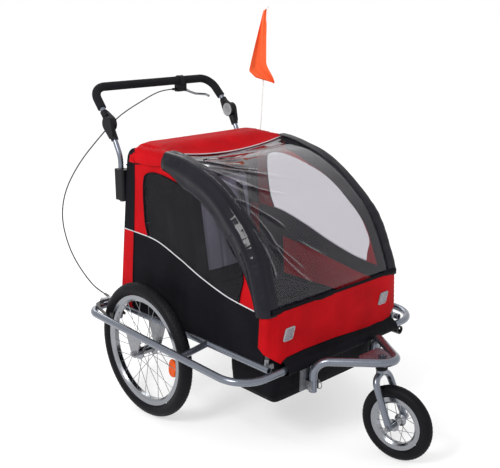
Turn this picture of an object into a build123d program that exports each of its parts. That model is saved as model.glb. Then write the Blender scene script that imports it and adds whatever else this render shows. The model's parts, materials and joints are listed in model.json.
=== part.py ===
"""Two-seat child bicycle trailer with its stroller kit: a castor front wheel, a tilting handle and a rim brake.

Millimetres. The origin is on the ground under the middle of the trailer. +Z is up, -Y is forward, and +X is
the trailer's left side, so the right side is -X. Right-hand pieces are modelled and left-hand ones mirrored.
"""
from build123d import *
import math
import os

# --- Driving dimensions ---------------------------------------------------------------------------------
# Rear wheels, 20 inch
REAR_R = 250.0
REAR_Y = 250.0
REAR_X = 397.0
REAR_TYRE_R = 24.0
REAR_RIM_EDGE = 205.0
REAR_SPOKES = 28
AXLE_R = 6.0
DROPOUT_IN = 345.0
DROPOUT_OUT = 449.0
PLATE = 4.0

# Front castor wheel, 10 inch
FRONT_R = 130.0
FRONT_TYRE_R = 20.0
FRONT_RIM_EDGE = 92.0
FRONT_SPOKES = 16
FRONT_AXLE_R = 5.0
SWIVEL_Y = -507.0
TRAIL = 66.0
YAW = 6.5
STEERER_R = 8.0
RUNNING = 0.04

# Chassis tubes
GUARD_R = 12.5
GUARD_X = 457.0
GUARD_FRONT_Y = -321.0
GUARD_FRONT_Z = 318.0
GUARD_REAR_Y = 530.0
GUARD_REAR_Z = 340.0
RAIL_R = 11.0
RAIL_X = 337.0
RAIL_Z = 341.0
RAIL_REAR_Y = 548.0
CROSSBAR_END = 330.0
CROSSBAR_YS = (-22.0, 250.0, 500.0)
STRUT_Y = -22.0
WALL = 2.0

# Front arm
ARM_R = 14.0
ARM_Z = 341.0
ARM_RISE = 12.0
ARM_LEG_X = 163.0
ARM_LEG_Y = -352.0
ARM_LEG_END = 222.0
ARM_LEG_BEND = 55.0
ARM_TURN_R = 45.0
PIN_R = 4.0
PIN_Z = 250.0
HEAD_BOTTOM = 303.0
FORK_R = 11.5
FORK_X = 50.0
FORK_FACE = 58.0

# Cabin: each side leans inwards from the rail to the roof
SIDE_X_BASE = 337.0
SIDE_X_TOP = 301.0
SIDE_Z_BASE = 353.0
SIDE_Z_TOP = 958.0
FABRIC = 3.0
HOOP_R = 9.5
HOOP_INSET = 16.0
FRONT_TOP_Z = 520.0
ROOF_FRONT_Y = 231.0
ROOF_HEM_Z = 905.0
HEM_GAP = 2.0
HEM_T = 4.0

# Handle
KNUCKLE = (299.6, 562.0, 1026.0)
KNUCKLE_R = 28.0
KNUCKLE_T = 14.0
STEM_R = 10.0
STEM_Y = 500.0
STEM_X = 300.0
CLAMP_STUD_R = 4.0
HANDLE_R = 11.0
HANDLE_CORNER = (291.0, 681.0, 1148.0)
HANDLE_BEND = 58.0
FOAM_R = 16.5
PIVOT_R = 8.0
BUTTON_R = 10.0
BUTTON_PROUD = 3.0

# Brake
LEVER_X = 133.0
LEVER_PIVOT = (152.0, 681.0, 1111.0)
CABLE_R = 2.5
CALIPER_REACH = 97.0

# Flag
POLE_R = 3.0
POLE_FOOT = (356.0, 482.0, 345.0)
POLE_TOP = (356.0, 398.0, 1440.0)

# Tow-bar receiver
RECEIVER_X = 338.0
RECEIVER_BORE = 13.0
RECEIVER_R = 16.0
RECEIVER_LENGTH = 80.0


# --- Helpers --------------------------------------------------------------------------------------------
def left(shape):
    """The left-hand copy of a right-hand piece."""
    return mirror(shape, about=Plane.YZ)


def pair(shape):
    """The right-hand piece and its left-hand copy."""
    return [shape, left(shape)]


def rod(start, end, radius):
    """A solid round bar between two points."""
    start, end = Vector(start), Vector(end)
    return extrude(Plane(start, z_dir=end - start) * Circle(radius), (end - start).length)


def pipe(start, end, outer, bore):
    """A straight tube between two points."""
    start, end = Vector(start), Vector(end)
    ring = Circle(outer) - Circle(bore)
    return extrude(Plane(start, z_dir=end - start) * ring, (end - start).length)


def bent(points, bends, outer, bore=0.0):
    """A tube, or a solid bar, of straight runs joined by tangent arcs of the given radii."""
    path = FilletPolyline(*points, radius=bends)
    ring = Circle(outer) - Circle(bore) if bore else Circle(outer)
    return sweep(Plane(path @ 0, z_dir=path % 0) * ring, path=path)


def block(x, y, z):
    """A box from three (low, high) pairs."""
    centre = [(a + b) / 2 for a, b in (x, y, z)]
    return Pos(*centre) * Box(x[1] - x[0], y[1] - y[0], z[1] - z[0])


def hulled(plane, circles, thickness):
    """A plate whose outline wraps round the given (u, v, radius) circles."""
    edges = [e for u, v, r in circles for e in (Pos(u, v) * Circle(r)).edges()]
    return extrude(plane * make_face(make_hull(edges)), thickness)


def hexagon(start, end, across_flats):
    """A hexagon nut blank between two points."""
    start, end = Vector(start), Vector(end)
    face = RegularPolygon(across_flats / 2, 6, major_radius=False)
    return extrude(Plane(start, z_dir=end - start) * face, (end - start).length)


def guard_z(y):
    """Height of the guard tube's side run, which climbs towards the back."""
    share = (y - GUARD_FRONT_Y) / (GUARD_REAR_Y - GUARD_FRONT_Y)
    return GUARD_FRONT_Z + share * (GUARD_REAR_Z - GUARD_FRONT_Z)


def export(name, *shapes):
    """Write one sub-part, keeping each of its solids apart."""
    solids = [s for shape in shapes for s in shape.solids()]
    whole = solids[0] if len(solids) == 1 else Compound(children=solids)
    export_step(whole, f"parts/{name}.step")


# --- Chassis --------------------------------------------------------------------------------------------
RAIL_LINE = ((-RAIL_X, GUARD_FRONT_Y, RAIL_Z), (-RAIL_X, RAIL_REAR_Y, RAIL_Z))
GUARD_SIDE_LINE = ((-GUARD_X, GUARD_FRONT_Y, GUARD_FRONT_Z), (-GUARD_X, GUARD_REAR_Y, GUARD_REAR_Z))


def rail_bar():
    return rod(*RAIL_LINE, RAIL_R)


def guard_bar():
    return rod(*GUARD_SIDE_LINE, GUARD_R)


def crossbar_bar():
    end = GUARD_X - 100
    return rod((-end, GUARD_FRONT_Y, GUARD_FRONT_Z), (end, GUARD_FRONT_Y, GUARD_FRONT_Z), GUARD_R)


def guard_tube():
    """Bumper round the wheel: from the front crossbar, back along the side, in to the side rail."""
    points = [
        (-CROSSBAR_END, GUARD_FRONT_Y, GUARD_FRONT_Z),
        (-GUARD_X, GUARD_FRONT_Y, GUARD_FRONT_Z),
        (-GUARD_X, GUARD_REAR_Y, GUARD_REAR_Z),
        (-RAIL_X, GUARD_REAR_Y, GUARD_REAR_Z),
    ]
    tube = bent(points, [105, 60], GUARD_R, GUARD_R - WALL)
    return tube - rail_bar() - caliper_bolt_hole()


def front_crossbar():
    ends = [(side * CROSSBAR_END, GUARD_FRONT_Y, GUARD_FRONT_Z) for side in (-1, 1)]
    return pipe(*ends, GUARD_R, GUARD_R - WALL)


def side_rail():
    return pipe(*RAIL_LINE, RAIL_R, RAIL_R - WALL) - crossbar_bar()


def frame_crossbars():
    """Three bars between the side rails, and the strut in front of each wheel."""
    rails = [rail_bar(), left(rail_bar())]
    bars = []
    for y in CROSSBAR_YS:
        bar = pipe((-RAIL_X, y, RAIL_Z), (RAIL_X, y, RAIL_Z), RAIL_R, RAIL_R - WALL)
        bars.append(bar - rails[0] - rails[1])
    strut = pipe((-GUARD_X, STRUT_Y, guard_z(STRUT_Y)), (-RAIL_X, STRUT_Y, RAIL_Z), RAIL_R, RAIL_R - WALL)
    strut = strut - guard_bar() - rail_bar()
    strut = max(strut.solids(), key=lambda s: s.volume)
    return bars + pair(strut)


def wheel_dropouts():
    """The plates that hold the rear axles: one under each guard and one under each side rail."""
    plates = []
    for x, top, bar in ((DROPOUT_OUT, guard_z(REAR_Y), guard_bar()), (DROPOUT_IN, RAIL_Z, rail_bar())):
        plane = Plane((-x - PLATE / 2, 0, 0), x_dir=(0, 1, 0), z_dir=(1, 0, 0))
        outline = [(REAR_Y, REAR_R, 17), (REAR_Y - 42, top - 8, 5), (REAR_Y + 42, top - 8, 5)]
        hole = rod((-x - PLATE, REAR_Y, REAR_R), (-x + PLATE, REAR_Y, REAR_R), AXLE_R)
        plates += pair(hulled(plane, outline, PLATE) - bar - hole)
    return plates


def hoop_brackets():
    """The plates on the rails that carry the hoops' feet, each with a socket round the foot."""
    points = hoop_points()
    plates = []
    for foot, above in ((points[0], points[1]), (points[-1], points[-2])):
        plate = block((-RAIL_X - 5, -RAIL_X + 30), (foot.Y - 22, foot.Y + 22), (RAIL_Z - 4, RAIL_Z + 11))
        along = (above - foot).normalized()
        socket = rod(foot - along * 3, foot + along * 16, HOOP_R + 2)
        plate = (plate + socket) - hoop_bar() - rail_bar() - crossbar_bar()
        plates.append(max(plate.solids(), key=lambda s: s.volume))
    return [copy for plate in plates for copy in pair(plate)]


# --- Rear wheels ----------------------------------------------------------------------------------------
def ring(profile, centre, axis=(1, 0, 0)):
    """Turn an (along-axle, radius) profile round the axle."""
    plane = Plane(centre, x_dir=axis, z_dir=Vector(*axis).cross(Vector(0, 0, 1)) * -1)
    return revolve(plane * profile, Axis(centre, axis))


def rim_profile(edge, half_width):
    """Box-section rim with a well that the tyre's beads stand in."""
    lip, well, deck, foot = 2.4, edge - 9, edge - 15, edge - 22
    points = [
        (half_width, edge), (half_width - lip, edge), (half_width - lip, well),
        (-half_width + lip, well), (-half_width + lip, edge), (-half_width, edge),
        (-half_width, deck), (-half_width * 0.55, foot), (half_width * 0.55, foot), (half_width, deck),
    ]
    return make_face(Polyline(*points, close=True))


def tyre_profile(radius, section, edge, half_width):
    """Open tyre casing: the round outside, the hollow inside, and the two beads in the rim."""
    lip, wall, well = half_width - 2.4, 4.0, edge - 9
    middle = radius - section
    shoulder = middle - math.sqrt(section**2 - lip**2)
    inside = section - wall
    inner = middle - math.sqrt(inside**2 - (lip - wall) ** 2)
    lines = [
        Line((-lip, well), (-lip, shoulder)),
        ThreePointArc((-lip, shoulder), (0, radius), (lip, shoulder)),
        Line((lip, shoulder), (lip, well)),
        Line((lip, well), (lip - wall, well)),
        Line((lip - wall, well), (lip - wall, inner)),
        ThreePointArc((lip - wall, inner), (0, radius - wall), (-lip + wall, inner)),
        Line((-lip + wall, inner), (-lip + wall, well)),
        Line((-lip + wall, well), (-lip, well)),
    ]
    return make_face(lines)


def hub_profile(bore, barrel, flange, half_length, flange_at):
    """Half of a spool-shaped hub, from the bore outwards."""
    points = [
        (-half_length, bore), (half_length, bore), (half_length, barrel * 0.75), (flange_at + 3, barrel * 0.75),
        (flange_at + 3, flange), (flange_at, flange), (flange_at - 5, barrel), (-flange_at + 5, barrel),
        (-flange_at, flange), (-flange_at - 3, flange), (-flange_at - 3, barrel * 0.75),
        (-half_length, barrel * 0.75),
    ]
    return make_face(Polyline(*points, close=True))


def spokes(count, flange_radius, flange_at, rim_radius, lead, radius):
    """Crossed spokes about an axle on X through the origin: alternate sides, alternate directions."""
    bars = []
    for i in range(count):
        at_rim = math.radians(360 * (i + 0.5) / count)
        side = 1 if i % 2 else -1
        at_hub = at_rim + math.radians(lead) * (1 if i % 4 < 2 else -1)
        start = (side * flange_at, flange_radius * math.cos(at_hub), flange_radius * math.sin(at_hub))
        end = (side * 2.5, rim_radius * math.cos(at_rim), rim_radius * math.sin(at_rim))
        bars.append(rod(start, end, radius))
    return bars


def rear_wheel(side):
    """Tyre, rim, spokes and hub of one rear wheel; side is -1 for the right and 1 for the left."""
    centre = (side * REAR_X, REAR_Y, REAR_R)
    return {
        "tyre": [ring(tyre_profile(REAR_R, REAR_TYRE_R, REAR_RIM_EDGE, 15), centre)],
        "rim": [ring(rim_profile(REAR_RIM_EDGE, 15), centre)],
        "spokes": [Pos(*centre) * s for s in spokes(REAR_SPOKES, 23, 31.5, REAR_RIM_EDGE - 21, 62, 1.1)],
        "hub": [ring(hub_profile(AXLE_R + RUNNING, 15, 27, 49, 30), centre)],
    }


def rear_axles():
    return pair(rod((-462, REAR_Y, REAR_R), (-332, REAR_Y, REAR_R), AXLE_R))


def axle_nuts():
    nuts = []
    for near, far in ((-DROPOUT_OUT - PLATE / 2, -460), (-DROPOUT_IN + PLATE / 2, -334)):
        nut = hexagon((near, REAR_Y, REAR_R), (far, REAR_Y, REAR_R), 19)
        nuts += pair(nut - rod((near, REAR_Y, REAR_R), (far, REAR_Y, REAR_R), AXLE_R))
    return nuts


# --- Front arm, fork and castor wheel -------------------------------------------------------------------
def turned(shape):
    """Turn a piece of the castor about the swivel axis, to where it stands at rest."""
    return Pos(0, SWIVEL_Y, 0) * (Rot(0, 0, YAW) * shape)


def front_arm():
    """Hairpin tube: two legs in the brackets, a gentle climb, and a tight turn round the swivel with a web in it."""
    reach = math.hypot(ARM_LEG_X, ARM_LEG_Y - SWIVEL_Y)
    lean = math.atan2(ARM_LEG_Y - SWIVEL_Y, ARM_LEG_X) - math.acos(ARM_TURN_R / reach)
    apex = SWIVEL_Y - ARM_TURN_R / abs(math.sin(lean))
    climb = ARM_RISE / (ARM_LEG_Y - SWIVEL_Y)
    shoulder_z, apex_z = ARM_Z - ARM_RISE, ARM_Z + climb * (SWIVEL_Y - apex)
    points = [
        (-ARM_LEG_X, ARM_LEG_Y, ARM_LEG_END),
        (-ARM_LEG_X, ARM_LEG_Y, shoulder_z),
        (0, apex, apex_z),
        (ARM_LEG_X, ARM_LEG_Y, shoulder_z),
        (ARM_LEG_X, ARM_LEG_Y, ARM_LEG_END),
    ]
    bends = [ARM_LEG_BEND, ARM_TURN_R, ARM_LEG_BEND]
    tube = bent(points, bends, ARM_R, ARM_R - WALL)
    plane = Plane((0, SWIVEL_Y, ARM_Z - 3), x_dir=(1, 0, 0), z_dir=(0, 0, 1))
    web = hulled(plane, [(0, 0, ARM_TURN_R - 8), (-42, 46, 14), (42, 46, 14)], 6)
    web = web - bent(points, bends, ARM_R - WALL / 2) - rod((0, SWIVEL_Y, ARM_Z - 9), (0, SWIVEL_Y, ARM_Z + 9), STEERER_R + 1)
    web = max(web.solids(), key=lambda s: s.volume)
    drill = rod((-ARM_LEG_X - 40, ARM_LEG_Y, PIN_Z), (ARM_LEG_X + 40, ARM_LEG_Y, PIN_Z), PIN_R + 0.1)
    return tube + web - drill


def arm_brackets():
    """Channels welded to the crossbar, round the arm's legs: a web with an outer wing, and two drilled cheeks."""
    low, high, rear = ARM_LEG_END + 8, GUARD_FRONT_Z + 4, GUARD_FRONT_Y - GUARD_R + 1
    cheek_in, cheek_out, wing = ARM_R + 0.3, ARM_R + 3.3, 44
    web = block((-ARM_LEG_X - wing, -ARM_LEG_X + cheek_out), (ARM_LEG_Y + ARM_R + 0.2, rear), (low, high))
    channel = web
    for side in (-1, 1):
        x = sorted((-ARM_LEG_X + side * cheek_in, -ARM_LEG_X + side * cheek_out))
        channel = channel + block(x, (ARM_LEG_Y - 10, rear), (low, PIN_Z + 12))
    channel = channel - crossbar_bar()
    drill = rod((-ARM_LEG_X - 40, ARM_LEG_Y, PIN_Z), (-ARM_LEG_X + 40, ARM_LEG_Y, PIN_Z), PIN_R + 0.05)
    return pair(channel - drill)


def lock_pin():
    """Pull pin with a flanged head and a ring, pushed in from the inner side of the right leg."""
    x = -ARM_LEG_X
    pin = rod((x - 24, ARM_LEG_Y, PIN_Z), (x + 20, ARM_LEG_Y, PIN_Z), PIN_R)
    head = rod((x + 18, ARM_LEG_Y, PIN_Z), (x + 26, ARM_LEG_Y, PIN_Z), 8)
    ring_at = Pos(x + 28, ARM_LEG_Y, PIN_Z - 13) * Rot(0, 90, 0)
    return pin + head + ring_at * Torus(14, 1.6) + rod((x + 25, ARM_LEG_Y, PIN_Z), (x + 30, ARM_LEG_Y, PIN_Z), 3)


def swivel_head():
    """Bearing housing under the web plate."""
    top, bottom = ARM_Z - 3, HEAD_BOTTOM
    body = rod((0, SWIVEL_Y, bottom), (0, SWIVEL_Y, top), 18) + rod((0, SWIVEL_Y, bottom), (0, SWIVEL_Y, bottom + 8), 20)
    return body - rod((0, SWIVEL_Y, bottom - 1), (0, SWIVEL_Y, top + 1), STEERER_R + RUNNING)


def fork():
    """Steerer, crown, and two legs that bow outwards and run down to bossed ends, welded into one piece."""
    crown_top = HEAD_BOTTOM - 0.5
    hub_y = -TRAIL
    crown = hulled(Plane((0, 0, crown_top - 16)), [(-8, 0, 14), (8, 0, 14)], 16)
    steerer = rod((0, 0, crown_top - 5), (0, 0, ARM_Z + 16), STEERER_R)
    lock_nut = hexagon((0, 0, ARM_Z + 3.5), (0, 0, ARM_Z + 12), 24)
    body = crown + steerer + lock_nut
    for side in (-1, 1):
        points = [
            (side * 4, 0, crown_top - FORK_R - 0.5),
            (side * 42, -2, crown_top - 26.5),
            (side * FORK_X, hub_y, FRONT_R),
        ]
        leg = bent(points, [34], FORK_R) + Pos(*points[-1]) * Sphere(FORK_R)
        leg = leg + rod((side * 34, hub_y, FRONT_R), (side * FORK_X, hub_y, FRONT_R), 9)
        beyond = sorted((side * FORK_FACE, side * (FORK_FACE + 20)))
        body = body + (leg - block(beyond, (hub_y - 20, hub_y + 20), (FRONT_R - 20, FRONT_R + 40)))
    bore = rod((-FORK_FACE - 9, hub_y, FRONT_R), (FORK_FACE + 9, hub_y, FRONT_R), FRONT_AXLE_R)
    return turned(body - bore)


def front_axle():
    """Axle with a nut outside each fork end."""
    reach = FORK_FACE + 10
    axle = rod((-reach, -TRAIL, FRONT_R), (reach, -TRAIL, FRONT_R), FRONT_AXLE_R)
    nuts = []
    for side in (-1, 1):
        ends = ((side * FORK_FACE, -TRAIL, FRONT_R), (side * (FORK_FACE + 8), -TRAIL, FRONT_R))
        nuts.append(hexagon(*ends, 15) - rod(*ends, FRONT_AXLE_R))
    return [turned(piece) for piece in [axle] + nuts]


def front_wheel():
    """Tyre, rim, spokes and hub of the castor wheel."""
    centre = (0, -TRAIL, FRONT_R)
    pieces = {
        "tyre": [ring(tyre_profile(FRONT_R, FRONT_TYRE_R, FRONT_RIM_EDGE, 13), centre)],
        "rim": [ring(rim_profile(FRONT_RIM_EDGE, 13), centre)],
        "spokes": [Pos(*centre) * s for s in spokes(FRONT_SPOKES, 17, 23.5, FRONT_RIM_EDGE - 21, 40, 1.1)],
        "hub": [ring(hub_profile(FRONT_AXLE_R + RUNNING, 12, 21, 33, 22), centre)],
    }
    return {name: [turned(s) for s in shapes] for name, shapes in pieces.items()}


# --- Cabin ----------------------------------------------------------------------------------------------
LEAN = math.atan2(SIDE_X_BASE - SIDE_X_TOP, SIDE_Z_TOP - SIDE_Z_BASE)
# The right-hand side panel's outer face: local x runs back, local y runs up the lean, local z points inwards.
SIDE_PLANE = Plane(
    (-SIDE_X_BASE, 0, SIDE_Z_BASE), x_dir=(0, 1, 0), z_dir=(math.cos(LEAN), 0, -math.sin(LEAN))
)


def up(z):
    """Distance up the leaning side plane of a point at height z."""
    return (z - SIDE_Z_BASE) / math.cos(LEAN)


ARCH = [(-304, 353), (-304, 530), (-235, 726), (-22, 905), (190, 957), (450, 957), (480, 353)]
ARCH_BENDS = [250, 380, 480, 480, 52]
HOOP_BENDS = [236, 366, 466, 466, 38]


def hoop_points():
    """Corners of the right hoop: the arch outline moved inwards by the hoop's inset."""
    corners = [(-290, 353), (-290, 527), (-223, 718), (-16, 892), (192, 943), (438, 943), (466, 353)]
    return [SIDE_PLANE.from_local_coords(Vector(y, up(z), HOOP_INSET)) for y, z in corners]


def side_hoop():
    return bent(hoop_points(), HOOP_BENDS, HOOP_R, HOOP_R - 1.5)


def hoop_bar():
    return bent(hoop_points(), HOOP_BENDS, HOOP_R)


def arch_face(grow=0.0):
    """The cabin's side outline."""
    corners = [(y, up(z)) for y, z in ARCH]
    path = FilletPolyline(*corners, radius=ARCH_BENDS)
    face = make_face([path.edges(), Line(corners[-1], corners[0])])
    return offset(face, grow) if grow else face


def side_panel():
    """One fabric side: window, sleeve and lower panel are one sewn sheet."""
    return extrude(SIDE_PLANE * arch_face(-0.2), FABRIC)


def between_sides(shape, inset=0.0):
    """Trim a crosswise sheet to the space between the leaning sides."""
    low, high = 150.0, 1050.0
    corners = []
    for z in (low, high):
        half = SIDE_X_BASE - (z - SIDE_Z_BASE) * math.tan(LEAN) - inset
        corners.append((half, z))
    outline = [(-corners[0][0], low), corners[0], corners[1], (-corners[1][0], high)]
    prism = extrude(Plane.XZ * make_face(Polyline(*outline, close=True)), 900, both=True)
    return shape & prism


def crosswise_shell():
    """The sheet that runs the cabin's width: up the front, over the arch and down the back."""
    line = FilletPolyline(*ARCH, radius=ARCH_BENDS)
    band = make_face(line.offset_2d(FABRIC, side=Side.LEFT, closed=True))
    return between_sides(extrude(Plane.YZ * band, 400, both=True))


def shell_part(y, z):
    """The piece of the crosswise sheet inside the given y and z limits."""
    return crosswise_shell() & block((-400, 400), y, z)


def front_cover():
    """Clear cover over the arch, from the roof's front edge down to the front panel."""
    return shell_part((-400, ROOF_FRONT_Y), (FRONT_TOP_Z, 1000))


def cover_hem():
    """Stiffened strip along the clear cover's lower edge, which is lifted to roll the cover up."""
    y = -304 - FABRIC - HEM_GAP
    return between_sides(block((-400, 400), (y - HEM_T, y), (FRONT_TOP_Z - 8, FRONT_TOP_Z + 10)), 4)


def roof_cover():
    return shell_part((ROOF_FRONT_Y, 600), (ROOF_HEM_Z, 1000))


def rear_panel():
    panel = shell_part((300, 600), (SIDE_Z_BASE, ROOF_HEM_Z))
    for stud in pair(clamp_studs(CLAMP_STUD_R)):
        panel = panel - stud
    return panel


def front_panel():
    """Red front wall, with its lower corners cut away."""
    sheet = shell_part((-400, -200), (SIDE_Z_BASE, FRONT_TOP_Z))
    for side in (-1, 1):
        corner = make_face(Polyline((side * 345, 340), (side * 345, 415), (side * 288, 340), close=True))
        sheet = sheet - extrude(Plane.XZ * corner, 400, both=True)
    return sheet


def floor_tub():
    """Footwell and floor: an open tub that drops between the front and middle crossbars."""
    wide, deep = 312.0, 300.0
    floor = block((-wide, wide), (-62, 452), (SIDE_Z_BASE, SIDE_Z_BASE + FABRIC))
    outer = loft_box(((-deep, deep), (-301, -60), 353 + FABRIC), ((-deep + 14, deep - 14), (-292, -84), 198))
    inner = loft_box(
        ((-deep + FABRIC, deep - FABRIC), (-301 + FABRIC, -60 - FABRIC), 353 + FABRIC),
        ((-deep + 14 + FABRIC, deep - 14 - FABRIC), (-292 + FABRIC, -84 - FABRIC), 198 + FABRIC),
    )
    return floor + (outer - inner)


def loft_box(top, bottom):
    """A tapered box between two level rectangles, each given as (x pair, y pair, z)."""
    faces = []
    for x, y, z in (bottom, top):
        centre = ((x[0] + x[1]) / 2, (y[0] + y[1]) / 2, z)
        faces.append(Plane(centre) * Rectangle(x[1] - x[0], y[1] - y[0]))
    return loft(faces)


def seat_cushion():
    return fillet_all(block((-268, 268), (30, 326), (SIDE_Z_BASE + FABRIC, 400)), 12)


def seat_back():
    plane = Plane((-268, 0, 0), x_dir=(0, 1, 0), z_dir=(1, 0, 0))
    outline = Polyline((330, 356), (372, 356), (438, 810), (400, 812), close=True)
    return fillet_all(extrude(plane * make_face(outline), 536), 12)


def fillet_all(solid, radius):
    return fillet(solid.edges(), radius)


def roof_spreader_bars():
    """Crosswise bars between the hoops: one under the middle of the roof, one at its rear edge."""
    bars = []
    for y, z in ((338, 937), (428, 935)):
        half = SIDE_X_BASE - (z - SIDE_Z_BASE) * math.tan(LEAN) - HOOP_INSET
        bar = rod((-half, y, z), (half, y, z), 7)
        for hoop in pair(hoop_bar()):
            bar = bar - hoop
        bars.append(max(bar.solids(), key=lambda s: s.volume))
    return bars


def reflectors():
    centre_z, y = 439, -304 - FABRIC
    plate = fillet(block((-263, -222), (y - 6, y), (centre_z - 22, centre_z + 22)).edges().filter_by(Axis.Y), 4)
    return pair(plate)


# --- Flag and tow-bar receiver --------------------------------------------------------------------------
def flag_pole():
    """Glass-fibre pole with a ball on its tip."""
    return rod(POLE_FOOT, POLE_TOP, POLE_R) + Pos(*POLE_TOP) * Sphere(6)


def flag():
    """Pennant hanging slack from the top of the pole."""
    slope = (POLE_TOP[1] - POLE_FOOT[1]) / (POLE_TOP[2] - POLE_FOOT[2])
    lean = Vector(0, slope, 1).normalized()
    across = Vector(-0.66, 0.75, 0)
    across = (across - lean * across.dot(lean)).normalized()
    plane = Plane(Vector(*POLE_TOP), x_dir=across, z_dir=across.cross(lean))
    outline = [(POLE_R, -8), (POLE_R + 14, -14), (74, -222), (46, -250), (POLE_R, -262)]
    return extrude(plane * make_face(Polyline(*outline, close=True)), 2, both=True)


def flag_socket():
    """Sleeve on the left rail that the pole stands in."""
    foot, top = Vector(*POLE_FOOT), Vector(*POLE_TOP)
    axis = (top - foot).normalized()
    sleeve = pipe((foot - axis * 14), (foot + axis * 60), 8, POLE_R)
    stop = rod((foot - axis * 14), foot, POLE_R)
    return sleeve + stop - left(rail_bar())


def tow_receiver():
    """Socket tube under the left front corner for the bicycle tow bar, with its locking cross hole."""
    z = GUARD_FRONT_Z - GUARD_R - RECEIVER_R + 1
    front = GUARD_FRONT_Y - 8
    tube = pipe((RECEIVER_X, front, z), (RECEIVER_X, front + RECEIVER_LENGTH, z), RECEIVER_R, RECEIVER_BORE)
    hole = rod((RECEIVER_X - 20, front + 14, z), (RECEIVER_X + 20, front + 14, z), 4.2)
    return tube - hole - crossbar_bar()


# --- Handle ---------------------------------------------------------------------------------------------
def handle_direction():
    """Unit vector from the right knuckle along the right handle arm."""
    corner = Vector(-HANDLE_CORNER[0], *HANDLE_CORNER[1:])
    return (corner - Vector(-KNUCKLE[0], *KNUCKLE[1:])).normalized()


def stem_direction():
    """Unit vector from the right knuckle down the leaning top of its stem."""
    return (Vector(-STEM_X, STEM_Y, 910) - Vector(-STEM_X, *KNUCKLE[1:])).normalized()


def handle_stem():
    """Right stem: up from the clamp, then bent back to the knuckle."""
    knuckle = Vector(-STEM_X, *KNUCKLE[1:])
    end = knuckle + stem_direction() * (KNUCKLE_R + 3)
    points = [(-STEM_X, STEM_Y, 742), (-STEM_X, STEM_Y, 910), end]
    return bent(points, [90], STEM_R, STEM_R - 1.5)


def handle_clamp():
    """Two-bolt plastic clamp that ties the right stem to the back of the hoop."""
    body = block((-STEM_X - 19, -STEM_X + 19), (464.5, 520), (750, 866))
    body = fillet(body.edges().filter_by(Axis.Z), 8) + clamp_studs(CLAMP_STUD_R)
    body = body - rod((-STEM_X, STEM_Y, 740), (-STEM_X, STEM_Y, 880), STEM_R) - hoop_bar()
    return max(body.solids(), key=lambda s: s.volume)


def clamp_studs(radius):
    """Two studs from the right clamp, through the rear panel, to the back of the hoop."""
    low, high = [rod((-STEM_X + 4, 450, z), (-STEM_X + 4, 480, z), radius) for z in (778, 838)]
    return low + high


def tilt_hub_fixed():
    """Lower knuckle half: a sleeve on the stem, a toothed disc outside, and the pivot it carries."""
    centre = Vector(-KNUCKLE[0], *KNUCKLE[1:])
    direction = stem_direction()
    inner_face = -KNUCKLE[0] - 0.4
    plane = Plane((inner_face - KNUCKLE_T, 0, 0), x_dir=(0, 1, 0), z_dir=(1, 0, 0))
    reach = centre + direction * 46
    disc = hulled(plane, [(centre.Y, centre.Z, KNUCKLE_R), (reach.Y, reach.Z, 14)], KNUCKLE_T)
    on_stem = Vector(-STEM_X, centre.Y, centre.Z)
    sleeve = rod((on_stem + direction * (KNUCKLE_R + 2)), (on_stem + direction * 66), 14)
    bore = rod((on_stem + direction * (KNUCKLE_R + 3)), (on_stem + direction * 90), STEM_R)
    pivot = rod((inner_face - 1, centre.Y, centre.Z), (inner_face + 8, centre.Y, centre.Z), PIVOT_R)
    return disc + sleeve - bore + pivot


def tilt_hub_moving():
    """Upper knuckle half: a disc inside, bored for the pivot and the button, and a sleeve on the handle."""
    centre = Vector(-KNUCKLE[0], *KNUCKLE[1:])
    direction = handle_direction()
    outer_face = -KNUCKLE[0]
    plane = Plane((outer_face, 0, 0), x_dir=(0, 1, 0), z_dir=(1, 0, 0))
    reach = centre + direction * 44
    disc = hulled(plane, [(centre.Y, centre.Z, KNUCKLE_R), (reach.Y, reach.Z, 13)], KNUCKLE_T)
    sleeve = rod((centre + direction * (KNUCKLE_R + 2)), (centre + direction * 56), 14)
    bore = rod((centre + direction * (KNUCKLE_R + 3)), (centre + direction * 90), HANDLE_R)
    pivot_hole = rod((outer_face - 5, centre.Y, centre.Z), (outer_face + 9, centre.Y, centre.Z), PIVOT_R + RUNNING)
    pocket = rod((outer_face + KNUCKLE_T - 6, centre.Y, centre.Z), (outer_face + 20, centre.Y, centre.Z), BUTTON_R + RUNNING)
    return disc + sleeve - bore - pivot_hole - pocket


def tilt_button():
    """Push button in the inner face of the right knuckle."""
    face = -KNUCKLE[0] + KNUCKLE_T
    low, high = face - 6 + BUTTON_PROUD + 0.2, face + BUTTON_PROUD
    button = rod((low, *KNUCKLE[1:]), (high, *KNUCKLE[1:]), BUTTON_R)
    return chamfer(button.edges().sort_by(Axis.X)[-1], 1)


def handle_path(start_share):
    """Corner points of the handle from a distance above each knuckle."""
    centre = Vector(-KNUCKLE[0], *KNUCKLE[1:])
    start = centre + handle_direction() * start_share
    x, y, z = HANDLE_CORNER
    return [start, (-x, y, z), (x, y, z), (-start.X, start.Y, start.Z)]


def handle_tube():
    return bent(handle_path(KNUCKLE_R + 3), [HANDLE_BEND, HANDLE_BEND], HANDLE_R, HANDLE_R - WALL)


def foam_grip():
    return bent(handle_path(72), [HANDLE_BEND, HANDLE_BEND], FOAM_R, HANDLE_R)


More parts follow.
